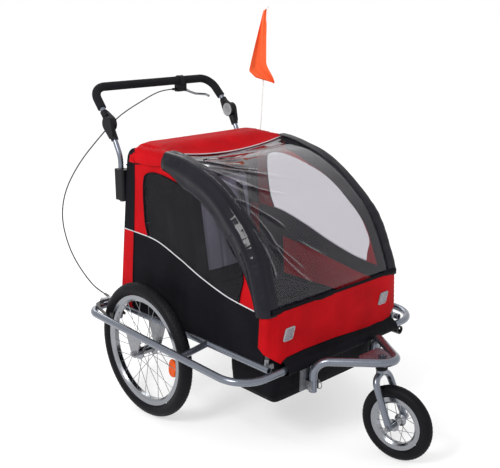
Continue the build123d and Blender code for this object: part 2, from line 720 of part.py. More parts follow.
# --- Brake ----------------------------------------------------------------------------------------------
def brake_lever_bracket():
    """Clamp ring on the grip, with the yoke that holds the lever's pin and the cable's barrel."""
    y, z = HANDLE_CORNER[1:]
    ring_part = pipe((LEVER_X - 12, y, z), (LEVER_X + 12, y, z), FOAM_R + 4, FOAM_R)
    yoke = block((112, 160), (y - 10, y + 10), (1103, 1134)) - rod((100, y, z), (170, y, z), FOAM_R)
    slot = block((130, 170), (y - 5, y + 5), (1090, 1124))
    barrel = rod((94, y, 1114), (116, y, 1114), 5)
    x, _, pin_z = LEVER_PIVOT
    pin = rod((x, y - 13, pin_z), (x, y + 13, pin_z), 2.5)
    return ring_part + yoke - slot + barrel + pin


def brake_lever():
    """Two-finger lever blade, hinged on the bracket's pin."""
    x, y, z = LEVER_PIVOT
    plane = Plane((0, y + 4.6, 0), x_dir=(1, 0, 0), z_dir=(0, -1, 0))
    boss = hulled(plane, [(x, z, 7), (x + 28, z - 12, 5)], 9.2)
    points = [(x + 22, y, z - 10), (x + 62, y, z - 24), (x + 118, y, z - 31)]
    tip = (x + 134, y, z - 38)
    blade = bent(points + [tip], [60, 22], 5.2) + Pos(*tip) * Sphere(6)
    return boss + blade - rod((x, y - 20, z), (x, y + 20, z), 2.5 + RUNNING)


CALIPER_AT = Vector(-REAR_X, GUARD_REAR_Y, GUARD_REAR_Z)
CALIPER_RADIAL = Vector(0, GUARD_REAR_Y - REAR_Y, GUARD_REAR_Z - REAR_R).normalized()
# Local x runs across the rim, local y points away from the wheel, and local z runs along the pivot bolt.
CALIPER_PLANE = Plane(CALIPER_AT, x_dir=(1, 0, 0), z_dir=Vector(1, 0, 0).cross(CALIPER_RADIAL))


OUTER_ARM_LEVEL = 17.0
INNER_ARM_LEVEL = 23.5
STOP_LEVEL = 30.0
CABLE_BASE = CALIPER_PLANE.from_local_coords(Vector(33, 13, STOP_LEVEL + 1.5))
CABLE_DOWN = Vector(22, -21, -21).normalized()
CABLE_STOP = CABLE_BASE - CABLE_DOWN * 14


def in_caliper(shape):
    return CALIPER_PLANE.location * shape


def caliper_bolt_hole():
    return in_caliper(rod((0, 0, -20), (0, 0, 20), 3.1))


def brake_pivot():
    """Caliper bolt through the guard tube, its spacer and nuts, and the arm with the cable's stop."""
    bolt = rod((0, 0, -18), (0, 0, 36), 3)
    spacer = rod((0, 0, GUARD_R + 0.15), (0, 0, OUTER_ARM_LEVEL - 0.2), 8)
    nut = hexagon((0, 0, STOP_LEVEL + 3), (0, 0, STOP_LEVEL + 7), 11)
    low_nut = hexagon((0, 0, -17), (0, 0, -GUARD_R - 0.15), 11)
    stop_arm = block((-7, 30), (-5, 5), (STOP_LEVEL, STOP_LEVEL + 3))
    stop_arm = stop_arm + block((26, 38), (-5, 19), (STOP_LEVEL, STOP_LEVEL + 3))
    barrel = rod(CABLE_BASE + CABLE_DOWN * 3, CABLE_STOP, 5)
    return in_caliper(bolt + spacer + nut + low_nut + stop_arm) + barrel


def brake_arm(side, level):
    """One caliper arm with its brake block; side is -1 for the outer arm and 1 for the inner."""
    outline = [
        (0, 0, 8), (side * 24, -6, 6), (side * 31, -34, 4.5), (side * 31, -CALIPER_REACH - 8, 4.5),
    ]
    arm = None
    for a, b in zip(outline, outline[1:]):
        piece = hulled(Plane((0, 0, level)), [a, b], 6)
        arm = piece if arm is None else arm + piece
    block_x = sorted((side * 17.5, side * 29))
    pad = block(block_x, (-CALIPER_REACH - 5, -CALIPER_REACH + 5), (level + 3 - 22, level + 3 + 22))
    hole = rod((0, 0, level - 1), (0, 0, level + 7), 3 + RUNNING)
    return in_caliper(arm + fillet(pad.edges().filter_by(Axis.Z), 2) - hole)


def cable_route():
    """The brake cable's corner points, from the lever's barrel to the caliper's barrel."""
    return [
        (94, 681, 1114), (44, 681, 1114), (-20, 667, 1102), (-88, 653, 1081), (-154, 640, 1060),
        (-218, 628, 1034), (-276, 620, 996), (-325, 624, 952), (-368, 638, 903), (-406, 651, 848),
        (-438, 660, 790), (-457, 665, 728), (-463, 664, 664), (-457, 656, 600), (-446, 641, 540),
        (-431, 616, 486), (-412, 585, 436), tuple(CABLE_STOP - CABLE_DOWN * 36), tuple(CABLE_STOP),
    ]


def cable_bends(points):
    """Bend radius at each corner: 0.45 of the shorter run, over the tangent of half the turn."""
    radii = []
    for before, corner, after in zip(points, points[1:], points[2:]):
        run_in = Vector(corner) - Vector(before)
        run_out = Vector(after) - Vector(corner)
        half_turn = math.radians(run_in.get_angle(run_out)) / 2
        radii.append(0.45 * min(run_in.length, run_out.length) / math.tan(half_turn))
    return radii


def brake_cable():
    points = cable_route()
    bends = cable_bends(points)
    path = FilletPolyline(*points, radius=bends)
    cable = bent(points, bends, CABLE_R)
    print("cable bend radii:", " ".join(f"{r:.0f}" for r in bends))
    runs = [(Vector(b) - Vector(a)).length for a, b in zip(points, points[1:])]
    print("cable runs:", " ".join(f"{r:.0f}" for r in runs))
    print(f"cable length {path.length:.0f}, volume ratio {cable.volume / (math.pi * CABLE_R**2 * path.length):.4f}")
    return cable


# --- Write the sub-parts --------------------------------------------------------------------------------
os.makedirs("parts", exist_ok=True)

export("guard_tube_right", guard_tube())
export("guard_tube_left", left(guard_tube()))
export("front_crossbar", front_crossbar())
export("side_rail_right", side_rail())
export("side_rail_left", left(side_rail()))
export("frame_crossbars", *frame_crossbars())
export("wheel_dropouts", *wheel_dropouts())
export("hoop_brackets", *hoop_brackets())
export("side_hoop_right", side_hoop())
export("side_hoop_left", left(side_hoop()))
export("roof_spreader_bars", *roof_spreader_bars())
export("handle_clamps", *pair(handle_clamp()))
export("handle_stems", *pair(handle_stem()))
export("tilt_hubs_fixed", *pair(tilt_hub_fixed()))
export("rear_axles", *rear_axles())
export("axle_nuts", *axle_nuts())
export("front_arm", front_arm())
export("arm_brackets", *arm_brackets())
export("swivel_head", swivel_head())
export("brake_pivot", brake_pivot())
export("roof_cover", roof_cover())
export("side_panel_right", side_panel())
export("side_panel_left", left(side_panel()))
export("rear_panel", rear_panel())
export("front_panel", front_panel())
export("front_cover", front_cover())
export("cover_hem", cover_hem())
export("floor_tub", floor_tub())
export("seat", seat_cushion(), seat_back())
export("reflectors", *reflectors())
export("flag_pole", flag_pole())
export("flag", flag())
export("flag_socket", flag_socket())
export("tow_receiver", tow_receiver())
export("tilt_hubs_moving", *pair(tilt_hub_moving()))
export("handle_tube", handle_tube())
export("foam_grip", foam_grip())
export("brake_lever_bracket", brake_lever_bracket())
export("brake_lever", brake_lever())
export("brake_cable", brake_cable())
export("tilt_button_right", tilt_button())
export("tilt_button_left", left(tilt_button()))
export("brake_arm_outer", brake_arm(-1, OUTER_ARM_LEVEL))
export("brake_arm_inner", brake_arm(1, INNER_ARM_LEVEL))
export("lock_pin_right", lock_pin())
export("lock_pin_left", left(lock_pin()))
for side, name in ((-1, "right"), (1, "left")):
    for piece, shapes in rear_wheel(side).items():
        export(f"{name}_{piece}", *shapes)
export("fork", fork())
export("front_axle", *front_axle())
for piece, shapes in front_wheel().items():
    export(f"front_{piece}", *shapes)
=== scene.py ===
"""Child bicycle trailer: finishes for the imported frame, and the cabin, seat, tyres and cable round it."""

import json
import math

import bpy
from mathutils import Matrix, Vector, noise
from mathutils.geometry import delaunay_2d_cdt


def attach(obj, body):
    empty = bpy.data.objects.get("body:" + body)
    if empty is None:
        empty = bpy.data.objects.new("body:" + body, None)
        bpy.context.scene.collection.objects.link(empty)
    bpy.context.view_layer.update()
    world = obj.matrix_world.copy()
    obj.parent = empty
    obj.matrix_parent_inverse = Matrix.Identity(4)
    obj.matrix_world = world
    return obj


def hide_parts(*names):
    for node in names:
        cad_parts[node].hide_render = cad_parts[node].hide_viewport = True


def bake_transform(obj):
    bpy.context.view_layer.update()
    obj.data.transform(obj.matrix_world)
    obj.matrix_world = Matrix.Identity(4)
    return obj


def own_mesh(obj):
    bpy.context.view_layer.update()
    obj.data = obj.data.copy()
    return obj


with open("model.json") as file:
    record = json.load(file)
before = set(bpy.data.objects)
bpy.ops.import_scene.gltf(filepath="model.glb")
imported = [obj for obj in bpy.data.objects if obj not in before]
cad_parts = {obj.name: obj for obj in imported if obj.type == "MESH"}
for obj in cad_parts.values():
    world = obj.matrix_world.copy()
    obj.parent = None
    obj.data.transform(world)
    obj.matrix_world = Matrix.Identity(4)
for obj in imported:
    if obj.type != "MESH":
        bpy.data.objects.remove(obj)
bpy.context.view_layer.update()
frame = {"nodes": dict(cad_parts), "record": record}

# The cabin's shape, in metres. Y and Z outline of the two hoops' cover, from the front foot over the roof.
ARCH_CORNERS = (
    (-0.304, 0.353), (-0.304, 0.530), (-0.235, 0.726), (-0.022, 0.905),
    (0.190, 0.957), (0.450, 0.957), (0.480, 0.353),
)
ARCH_RADII = (0.250, 0.380, 0.480, 0.480, 0.052)
SIDE_BOTTOM_Z = 0.353
SIDE_HALF_WIDTH = 0.337
SIDE_LEAN = 0.0595
HEM_Z = 0.520
ROOF_FRONT_Y = 0.231
ROOF_CREST_Y = 0.335
ROOF_SAG = 0.032
ROOF_PUFF = 0.014
ROOF_REAR_Z = 0.905
CLOTH = 0.0015
FILM = 0.0008

# The reflective piping between the side's black skirt and its red border, and the side window's upper edge.
PIPING = (
    (0.405, 0.648), (0.301, 0.645), (0.225, 0.631), (0.131, 0.603), (0.025, 0.568),
    (-0.101, 0.535), (-0.200, 0.522), (-0.276, 0.5155),
)
WINDOW_TOP = (
    (0.318, 0.646), (0.338, 0.700), (0.350, 0.790), (0.348, 0.850), (0.330, 0.872), (0.283, 0.882),
    (0.210, 0.876), (0.102, 0.852), (0.024, 0.824), (-0.050, 0.785), (-0.110, 0.730),
    (-0.158, 0.670), (-0.186, 0.612), (-0.176, 0.560), (-0.170, 0.526),
)
REAR_BAND_Y = 0.405
REAR_EDGE_Y = 0.4652
BAND_PIPING_Z = 0.648
BORDER_TOP_Z = 0.9565

# Half the width over which the roof's front edge and the clear cover's top sag.
SPAN_HALF_WIDTH = 0.301
# How far cloth turns over the rounded corners between the top and the sides, in radians.
QUARTER_TURN = 1.57
HOOPS = ["side_hoop_right", "side_hoop_left"]

# The rear wheels: where their axles stand, and the radius over the tyre.
WHEEL_X = 0.397
WHEEL_Y = 0.25
WHEEL_RADIUS = 0.25

SIDES = ((-1, "right"), (1, "left"))


# Camera

def place_camera():
    """The photograph's view: 43 degrees round from the front and 16 degrees down."""
    data = bpy.data.cameras.new("camera")
    data.lens = 60.5
    data.sensor_width = 36
    camera = bpy.data.objects.new("camera", data)
    bpy.context.scene.collection.objects.link(camera)
    camera.location = (-2.057, -2.049, 1.487)
    turn, drop = math.radians(43.45), math.radians(15.93)
    look = Vector((math.sin(turn) * math.cos(drop), math.cos(turn) * math.cos(drop), -math.sin(drop)))
    camera.rotation_mode = "QUATERNION"
    camera.rotation_quaternion = look.to_track_quat("-Z", "Y")
    bpy.context.scene.camera = camera


# Shapes

def new_object(name, points, faces, slots=None, materials=()):
    """A smooth mesh from points and faces, with each face's material number in slots."""
    mesh = bpy.data.meshes.new(name)
    mesh.from_pydata([tuple(p) for p in points], [], faces)
    for material in materials:
        mesh.materials.append(material)
    if slots:
        mesh.polygons.foreach_set("material_index", slots)
    mesh.polygons.foreach_set("use_smooth", [True] * len(mesh.polygons))
    mesh.update()
    piece = bpy.data.objects.new(name, mesh)
    bpy.context.scene.collection.objects.link(piece)
    return piece


def settle(piece, sharp_degrees=50):
    """Applies the piece's modifiers to its mesh."""
    shown = piece.evaluated_get(bpy.context.evaluated_depsgraph_get())
    mesh = bpy.data.meshes.new_from_object(shown)
    piece.modifiers.clear()
    piece.data = mesh
    mesh.polygons.foreach_set("use_smooth", [True] * len(mesh.polygons))
    mesh.set_sharp_from_angle(angle=math.radians(sharp_degrees))


def thicken(piece, thickness, offset=-1.0):
    """Gives an open surface its cloth's thickness."""
    solid = piece.modifiers.new("thickness", "SOLIDIFY")
    solid.thickness = thickness
    solid.offset = offset
    solid.use_even_offset = False
    settle(piece)


def wear(piece, slot, *nodes, body="chassis"):
    """The piece rides on body, stands for nodes, and takes slot's finish unless it has its own."""
    if len(piece.data.materials) == 0:
        piece.data.materials.append(FINISHES[slot])
    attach(piece, body)
    if nodes:
        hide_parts(*nodes)


def cloth(piece, slot, *nodes, flat, rests_on, held="stretched", area=None, thickness=CLOTH, offset=0.0):
    thicken(piece, thickness, offset)
    wear(piece, slot, *nodes)


def quads(rows, columns, last):
    """The faces between rows of points. They close into rings where last is columns."""
    faces = []
    for r in range(rows - 1):
        for c in range(last):
            here, beside = r * columns + c, r * columns + (c + 1) % columns
            faces.append((here, beside, beside + columns, here + columns))
    return faces


def grid(name, rows, columns, place, materials=(), slot_of=lambda u: 0, closed=False):
    """A surface where place(u, v) gives the point at shares u and v, and slot_of(u) a face's material."""
    last = columns if closed else columns - 1
    points = [place(r / (rows - 1), c / last) for r in range(rows) for c in range(columns)]
    slots = [slot_of((r + 0.5) / (rows - 1)) for r in range(rows - 1) for _ in range(last)]
    return new_object(name, points, quads(rows, columns, last), slots, materials)


def tube(name, line, radius, material, sides=8, flat=1.0):
    """A round tube along line with closed ends."""
    line = [Vector(p) for p in line]
    points = []
    normal = None
    for i, here in enumerate(line):
        ahead = (line[min(i + 1, len(line) - 1)] - line[max(i - 1, 0)]).normalized()
        if normal is None:
            normal = ahead.orthogonal().normalized()
        normal = (normal - ahead * normal.dot(ahead)).normalized()
        side = ahead.cross(normal)
        for k in range(sides):
            a = math.tau * k / sides
            points.append(here + (normal * math.cos(a) * flat + side * math.sin(a)) * radius)
    faces = quads(len(line), sides, sides)
    faces.append(tuple(reversed(range(sides))))
    faces.append(tuple(range(len(points) - sides, len(points))))
    piece = new_object(name, points, faces, None, [material])
    piece.data.set_sharp_from_angle(angle=math.radians(60))
    return piece


def rounded(corners, radii, step=0.006):
    """Points along straight runs whose inner corners are rounded to radii."""
    corners = [Vector(c) for c in corners]
    line = [corners[0]]
    for before, corner, after, radius in zip(corners, corners[1:], corners[2:], radii):
        back, on = (before - corner).normalized(), (after - corner).normalized()
        half = math.acos(max(-1.0, min(1.0, back.dot(on)))) / 2
        cut = radius / math.tan(half)
        middle = corner + (back + on).normalized() * radius / math.sin(half)
        start, end = corner + back * cut - middle, corner + on * cut - middle
        sweep = start.angle_signed(end, 0)
        count = max(2, int(radius * abs(sweep) / step))
        for i in range(count + 1):
            line.append(middle + Matrix.Rotation(-sweep * i / count, 2) @ start)
    line.append(corners[-1])
    return line


class Path:
    """A plane line that can be read at any distance along it."""

    def __init__(self, line):
        self.line = [Vector(p) for p in line]
        self.at = [0.0]
        for a, b in zip(self.line, self.line[1:]):
            self.at.append(self.at[-1] + (b - a).length)
        self.length = self.at[-1]

    def read(self, s):
        """The point at distance s, and the unit normal on the left of the way along."""
        s = max(0.0, min(self.length, s))
        i = next((k for k in range(1, len(self.at)) if self.at[k] >= s), len(self.at) - 1)
        a, b = self.line[i - 1], self.line[i]
        run = max((b - a).length, 1e-9)
        way = (b - a) / run
        return a + way * (s - self.at[i - 1]), Vector((-way.y, way.x))

    def find(self, test, step=0.001):
        """The first distance where test(point) holds."""
        return next(k * step for k in range(int(self.length / step)) if test(self.read(k * step)[0]))


def smooth_line(points, steps=8):
    """A Catmull-Rom line through points."""
    points = [Vector(p) for p in points]
    ends = [points[0] * 2 - points[1], *points, points[-1] * 2 - points[-2]]
    line = []
    for a, b, c, d in zip(ends, ends[1:], ends[2:], ends[3:]):
        for k in range(steps):
            t = k / steps
            curved = (a * 2 - b * 5 + c * 4 - d) * t * t + (b * 3 - a - c * 3 + d) * t**3
            line.append((b * 2 + (c - a) * t + curved) / 2)
    line.append(points[-1])
    return line


def along(line, share):
    """The point at that share of the way along line, counted in its points."""
    i = min(int(share * (len(line) - 1)), len(line) - 2)
    return line[i].lerp(line[i + 1], share * (len(line) - 1) - i)


def smoothstep(low, high, value):
    """0 at low, 1 at high, and smooth between; low may be the larger."""
    t = max(0.0, min(1.0, (value - low) / (high - low)))
    return t * t * (3 - 2 * t)


def bump(x, centre, width):
    """A smooth hill of height 1."""
    return math.exp(-(((x - centre) / width) ** 2))


def waver(x, y, z):
    """Smooth noise between about -1 and 1."""
    return noise.noise(Vector((x, y, z)))


def crinkle(u, v, seed, octaves=3):
    """Creased noise between about -1 and 1."""
    total, size = 0.0, 1.0
    for k in range(octaves):
        total += (1 - 3.2 * abs(waver(u, v, seed + 7.3 * k))) * size
        u, v, size = u * 2.1, v * 2.1, size * 0.5
    return total / 1.75


def inside(point, polygon):
    """Whether a plane point lies in a polygon."""
    x, y = point[0], point[1]
    within = False
    for (ax, ay), (bx, by) in zip(polygon, polygon[1:] + polygon[:1]):
        if (ay > y) != (by > y) and x < (bx - ax) * (y - ay) / (by - ay) + ax:
            within = not within
    return within


def squared(value, power):
    """value raised to power with its sign kept, which squares off a circle when power is small."""
    return math.copysign(abs(value) ** power, value)


def lattice(border, regions, pitch):
    """Points on a triangular lattice inside the regions, clear of the border's points."""
    low = [min(v[k] for v in border) for k in (0, 1)]
    high = [max(v[k] for v in border) for k in (0, 1)]
    cells = {}
    for v in border:
        cells.setdefault((int(v.x // pitch), int(v.y // pitch)), []).append(v)
    found = []
    row, z = 0, low[1]
    while z < high[1]:
        y = low[0] + (row % 2) * pitch / 2
        while y < high[0]:
            spot = Vector((y, z))
            near = [
                v for i in (-1, 0, 1) for j in (-1, 0, 1)
                for v in cells.get((int(y // pitch) + i, int(z // pitch) + j), ())
            ]
            clear = all((spot - v).length > pitch * 0.6 for v in near)
            if clear and any(inside(spot, polygon) for polygon, _ in regions):
                found.append(spot)
            y += pitch
        z += pitch * 0.866
        row += 1
    return found


def patchwork(name, regions, pitch, place, materials=()):
    """One sheet sewn from plane regions, each a (polygon, material number), that place puts in space."""
    border, edges = [], []
    for polygon, _ in regions:
        first = len(border)
        for a, b in zip(polygon, polygon[1:] + polygon[:1]):
            a, b = Vector(a), Vector(b)
            steps = max(1, round((b - a).length / pitch))
            border += [a + (b - a) * k / steps for k in range(steps)]
        count = len(border) - first
        edges += [(first + k, first + (k + 1) % count) for k in range(count)]
    points, _, triangles = delaunay_2d_cdt(border + lattice(border, regions, pitch), edges, [], 0, 1e-5)[:3]
    faces, slots = [], []
    for face in triangles:
        middle = sum((points[i] for i in face), Vector((0, 0))) / len(face)
        material = next((m for polygon, m in regions if inside(middle, polygon)), None)
        if material is not None:
            faces.append(face)
            slots.append(material)
    return new_object(name, [place(v.x, v.y) for v in points], faces, slots, materials)


ARCH = Path(rounded(ARCH_CORNERS, ARCH_RADII))
HEM_S = ARCH.find(lambda p: p.y >= HEM_Z)
ROOF_S = ARCH.find(lambda p: p.x >= ROOF_FRONT_Y)
REAR_S = ARCH.find(lambda p: p.x > 0.4 and p.y <= ROOF_REAR_Z)


def half_width(z):
    """How far the side's outer face stands from the middle at height z."""
    return SIDE_HALF_WIDTH - SIDE_LEAN * (z - SIDE_BOTTOM_Z)


def over_arch(s, x, out):
    """A point on the cabin's front, top or back, out from the outline."""
    spot, normal = ARCH.read(s)
    return Vector((x, spot.x + normal.x * out, spot.y + normal.y * out))


def inward(s, inset):
    """The outline's Y and Z at distance s, moved inset in along the side's face."""
    spot, normal = ARCH.read(s)
    return spot.x - normal.x * inset, spot.y - normal.y * inset


def round_corner(s, side, turn, angle, reach):
    """A point at angle round the corner from the top to a side. The corner's own radius is turn."""
    y, z = inward(s, turn - reach * math.cos(angle))
    edge = half_width(ARCH.read(s)[0].y) - turn
    return Vector((side * (edge + reach * math.sin(angle)), y, z))


def roof_drop(x, y):
    """How far the roof hangs under the outline at its front edge, or stands above it at the back."""
    across = 1 - min(1.0, abs(x) / SPAN_HALF_WIDTH) ** 2
    back = smoothstep(ROOF_FRONT_Y, ROOF_CREST_Y, y)
    return across * (ROOF_SAG * (1 - back) ** 1.6) - ROOF_PUFF * back * min(1.0, across * 2.5)


# Materials

class Look:
    """A material being wired: its Principled shader, its object coordinates, and short ways to add nodes."""

    def __init__(self, name, colour, roughness, metallic=0.0):
        self.material = bpy.data.materials.new(name)
        self.material.use_nodes = True
        self.tree = self.material.node_tree
        self.principled = self.tree.nodes["Principled BSDF"]
        self.place = self.tree.nodes.new("ShaderNodeTexCoord").outputs["Object"]
        self.set({"Base Color": (*colour, 1), "Roughness": roughness, "Metallic": metallic})

    def fill(self, node, inputs):
        """Gives a node's inputs their values, or links them to other nodes' outputs."""
        for key, value in inputs.items():
            if isinstance(value, bpy.types.NodeSocket):
                self.tree.links.new(value, node.inputs[key])
            else:
                node.inputs[key].default_value = value

    def set(self, inputs):
        """Fills the Principled shader's inputs."""
        self.fill(self.principled, inputs)

    def node(self, kind, inputs, operation=None):
        """A new node with its inputs filled."""
        node = self.tree.nodes.new("ShaderNode" + kind)
        if operation:
            node.operation = operation
        self.fill(node, inputs)
        return node

    def noise(self, scale, detail=3.0, stretch=None):
        """A noise texture's value, over coordinates stretched per axis."""
        place = self.place
        if stretch:
            place = self.node("Mapping", {"Vector": place, "Scale": stretch}).outputs["Vector"]
        return self.node("TexNoise", {"Vector": place, "Scale": scale, "Detail": detail}).outputs["Fac"]

    def tone(self, value, colour, dark, light, low=0.3, high=0.7):
        """value turned into a shade of colour, between its dark and light shares."""
        node = self.node("ValToRGB", {"Fac": value})
        for end, position, share in ((0, low, dark), (1, high, light)):
            node.color_ramp.elements[end].position = position
            node.color_ramp.elements[end].color = (*scaled(colour, share), 1)
        return node.outputs["Color"]

    def raise_by(self, height, distance, strength=1.0, under=None):
        """A bump of that height in metres, on top of another bump if there is one."""
        node = self.node("Bump", {"Height": height, "Distance": distance, "Strength": strength})
        if under:
            self.fill(node, {"Normal": under})
        self.set({"Normal": node.outputs["Normal"]})
        return node.outputs["Normal"]

    def weave(self, pitch):
        """The height of crossed threads on any face, pitch metres apart."""
        turns = self.node("VectorMath", {0: self.place, "Scale": math.tau / pitch}, "SCALE")
        wave = self.node("VectorMath", {0: turns.outputs["Vector"]}, "SINE")
        thirds = {0: wave.outputs["Vector"], 1: (0.33, 0.33, 0.33)}
        return self.node("VectorMath", thirds, "DOT_PRODUCT").outputs["Value"]


def scaled(colour, share):
    """colour with each channel times share, at most 1."""
    return tuple(min(1.0, c * share) for c in colour)


def fabric(
    name, colour, roughness=0.6, sheen=0.0, crease=0.0012, pitch=0.0022, spread=0.16, gloss=0.05, coat=0.0,
):
    """Coated woven polyester: crossed threads, soft creases, and a colour that varies a little."""
    look = Look(name, colour, roughness)
    look.set({
        "Base Color": look.tone(look.noise(9, 4), colour, 1 - spread, 1 + spread),
        "Specular IOR Level": gloss,
        "Sheen Weight": sheen,
        "Sheen Roughness": 0.5,
        "Sheen Tint": (*scaled(colour, 2.2), 1),
    })
    if coat:
        look.set({"Coat Weight": coat, "Coat Roughness": 0.06})
    folds = look.raise_by(look.noise(16, 4, (1.0, 0.6, 1.0)), crease * 6, 0.5)
    look.raise_by(look.weave(pitch), pitch * 0.12, 0.7, folds)
    return look.material


def painted_metal(name, colour, roughness=0.34, metallic=0.75):
    """Gloss paint with metal flake over steel tube."""
    look = Look(name, colour, roughness, metallic)
    look.set({
        "Base Color": look.tone(look.noise(700, 2), colour, 0.86, 1.12),
        "Roughness": look.tone(look.noise(30), WHITE, roughness - 0.05, roughness + 0.09),
        "Coat Weight": 0.4,
        "Coat Roughness": 0.18,
    })
    look.raise_by(look.noise(260, 2), 0.0004, 0.25)
    return look.material


def bare_metal(name, colour, roughness, spangle=90):
    """Plated or polished metal with a spangle in its gloss."""
    look = Look(name, colour, roughness, 1.0)
    fine = look.noise(spangle * 3, 2)
    look.set({
        "Base Color": look.tone(look.noise(spangle, 4), colour, 0.85, 1.08),
        "Roughness": look.tone(fine, WHITE, roughness * 0.7, roughness * 1.35),
    })
    look.raise_by(fine, 0.0005, 0.2)
    return look.material


def moulded(name, colour, roughness=0.45, grain=520, depth=0.0005, spread=0.25, gloss=0.5):
    """Moulded plastic, foam or rubber with a fine grain."""
    look = Look(name, colour, roughness)
    cloud = look.noise(24, 5)
    look.set({
        "Base Color": look.tone(cloud, colour, 1 - spread, 1 + spread),
        "Roughness": look.tone(cloud, WHITE, roughness - 0.06, roughness + 0.1),
        "Specular IOR Level": gloss,
    })
    look.raise_by(look.noise(grain, 2), depth, 0.5)
    return look.material


def clear_film(name, haze, tint, share, shine, glance, roughness=0.05, ripple=0.0006, pattern=None):
    """Clear PVC sheet: a thin haze over what is behind it, and a gloss that grows towards its edges."""
    look = Look(name, haze, 0.5)
    under = look.raise_by(look.noise(9, 1, (1.0, 0.5, 1.0)), ripple * 4, 0.3)
    if pattern:
        under = look.raise_by(look.weave(pattern), pattern * 0.1, 0.3, under)
    see = look.node("BsdfTransparent", {"Color": (*tint, 1)}).outputs["BSDF"]
    hazed = look.node("MixShader", {"Fac": share, 1: see, 2: look.principled.outputs["BSDF"]})
    gloss = look.node("BsdfGlossy", {"Roughness": roughness, "Color": (1, 1, 1, 1), "Normal": under})
    facing = look.node("LayerWeight", {"Blend": 0.5, "Normal": under})
    steep = look.node("Math", {0: facing.outputs["Facing"], 1: 3.2}, "POWER")
    amount = look.node("Math", {0: steep.outputs["Value"], 1: glance, 2: shine}, "MULTIPLY_ADD")
    shaders = {"Fac": amount.outputs["Value"], 1: hazed.outputs["Shader"], 2: gloss.outputs["BSDF"]}
    glossed = look.node("MixShader", shaders)
    output = next(n for n in look.tree.nodes if n.type == "OUTPUT_MATERIAL")
    look.fill(output, {"Surface": glossed.outputs["Shader"]})
    return look.material


def prismatic(name, colour, gloss):
    """A reflector's moulded cube corners, 4 mm across, behind a glossy face."""
    look = Look(name, colour, 0.15, 0.35)
    facets = look.node("TexVoronoi", {"Vector": look.place, "Scale": 250}).outputs["Distance"]
    look.set({
        "Base Color": look.tone(facets, colour, 0.55, 1.25, 0.05, 0.7),
        "Coat Weight": gloss,
        "Specular IOR Level": gloss * 0.5,
    })
    look.raise_by(facets, 0.002, 0.9)
    return look.material


WHITE = (1, 1, 1)
RED = (0.37, 0.004, 0.007)
BLACK = (0.0045, 0.0045, 0.0065)
FINISHES = {
    "frame_paint": painted_metal("frame_paint", (0.15, 0.165, 0.20), 0.24, 0.85),
    "zinc_steel": bare_metal("zinc_steel", (0.26, 0.265, 0.28), 0.34),
    "hoop_paint": painted_metal("hoop_paint", (0.03, 0.03, 0.03), 0.4, 0.2),
    "black_plastic": moulded("black_plastic", (0.005, 0.005, 0.0065), gloss=0.14),
    "grey_plastic": moulded("grey_plastic", (0.22, 0.23, 0.24), 0.4),
    "alloy": bare_metal("alloy", (0.27, 0.28, 0.30), 0.2, 240),
    "black_alloy": painted_metal("black_alloy", (0.02, 0.02, 0.022), 0.35, 0.2),
    "foam": moulded("foam", (0.007, 0.007, 0.009), 0.8, 420, 0.0012, gloss=0.14),
    "tyre": moulded("tyre", (0.0045, 0.0045, 0.006), 0.5, 300, 0.0006, 0.3, 0.09),
    "red_fabric": fabric("red_fabric", RED, gloss=0.03),
    "side_fabric": fabric("side_red", RED, crease=0.0008, gloss=0.03),
    "black_fabric": fabric("black_fabric", BLACK, 0.62, spread=0.25),
    "clear_pvc": clear_film("clear_pvc", (0.17, 0.16, 0.20), (0.91, 0.90, 0.93), 0.03, 0.006, 0.55),
    "reflector": prismatic("reflector", (0.22, 0.20, 0.23), gloss=0.5),
    "flag_fabric": fabric("flag_fabric", (0.74, 0.11, 0.035), 0.7, 0.1, 0.0015, 0.0016, 0.1),
    "white_rod": moulded("white_rod", (0.72, 0.72, 0.70), 0.3, 800, 0.0002, 0.05),
    "cable": moulded("cable", (0.02, 0.02, 0.021), 0.35, 700, 0.0002),
}
SLEEVE = fabric("sleeve_fabric", (0.005, 0.005, 0.009), 0.4, crease=0.001, spread=0.3, coat=0.24)
WINDOW = clear_film(
    "window_film", (0.20, 0.20, 0.24), (0.78, 0.775, 0.78), 0.02, 0.001, 0.1,
    roughness=0.08, ripple=0.0003, pattern=0.0015,
)
PIPE = moulded("reflective_piping", (0.50, 0.50, 0.52), 0.3, 900, 0.0003, 0.1)
ORANGE = prismatic("orange_reflector", (0.62, 0.075, 0.003), gloss=0.12)
SEAT = fabric("seat_fabric", (0.006, 0.006, 0.008), 0.7, pitch=0.003, spread=0.2)
# The seat fabric made grey for the left place's upper back: painted light, where light falls on it.
SEAT_PAINTED_LIGHT = fabric("seat_painted_light", (0.28, 0.28, 0.35), 0.7, pitch=0.003, spread=0.1)
WEBBING = fabric("webbing", (0.012, 0.012, 0.014), 0.6, crease=0.0004, pitch=0.0035, spread=0.2)


def dress_frame():
    """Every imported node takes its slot's finish, except the black hubs that carry the grey buttons."""
    for part in frame["record"]["subparts"]:
        piece = frame["nodes"][part["node"]]
        slot = "black_plastic" if part["node"] == "tilt_hubs_moving" else part["material_slot"]
        finish = FINISHES[slot]
        if not piece.material_slots:
            piece.data.materials.append(finish)
        for place in piece.material_slots:
            place.material = finish


def hub_face(side, name):
    """The grey ribbed ring round the release button, on the tilt hub's inner face."""
    centre_y, centre_z, face_x = 0.562, 1.026, 0.2856
    profile = (
        (0.0106, 0.0), (0.0106, 0.0016), (0.0125, 0.0020), (0.0165, 0.0016), (0.0175, 0.0008),
        (0.0185, 0.0016), (0.0245, 0.0018), (0.0262, 0.0010), (0.0264, 0.0),
    )

    def place(u, v):
        radius, out = profile[round(u * (len(profile) - 1))]
        a = math.tau * v
        y, z = centre_y + radius * math.cos(a), centre_z + radius * math.sin(a)
        return Vector((side * (face_x - out), y, z))

    ring = grid("hub_face_" + name, len(profile), 72, place, closed=True)
    ring.data.set_sharp_from_angle(angle=math.radians(40))
    wear(ring, "grey_plastic", body="handlebar")


# Brake cable

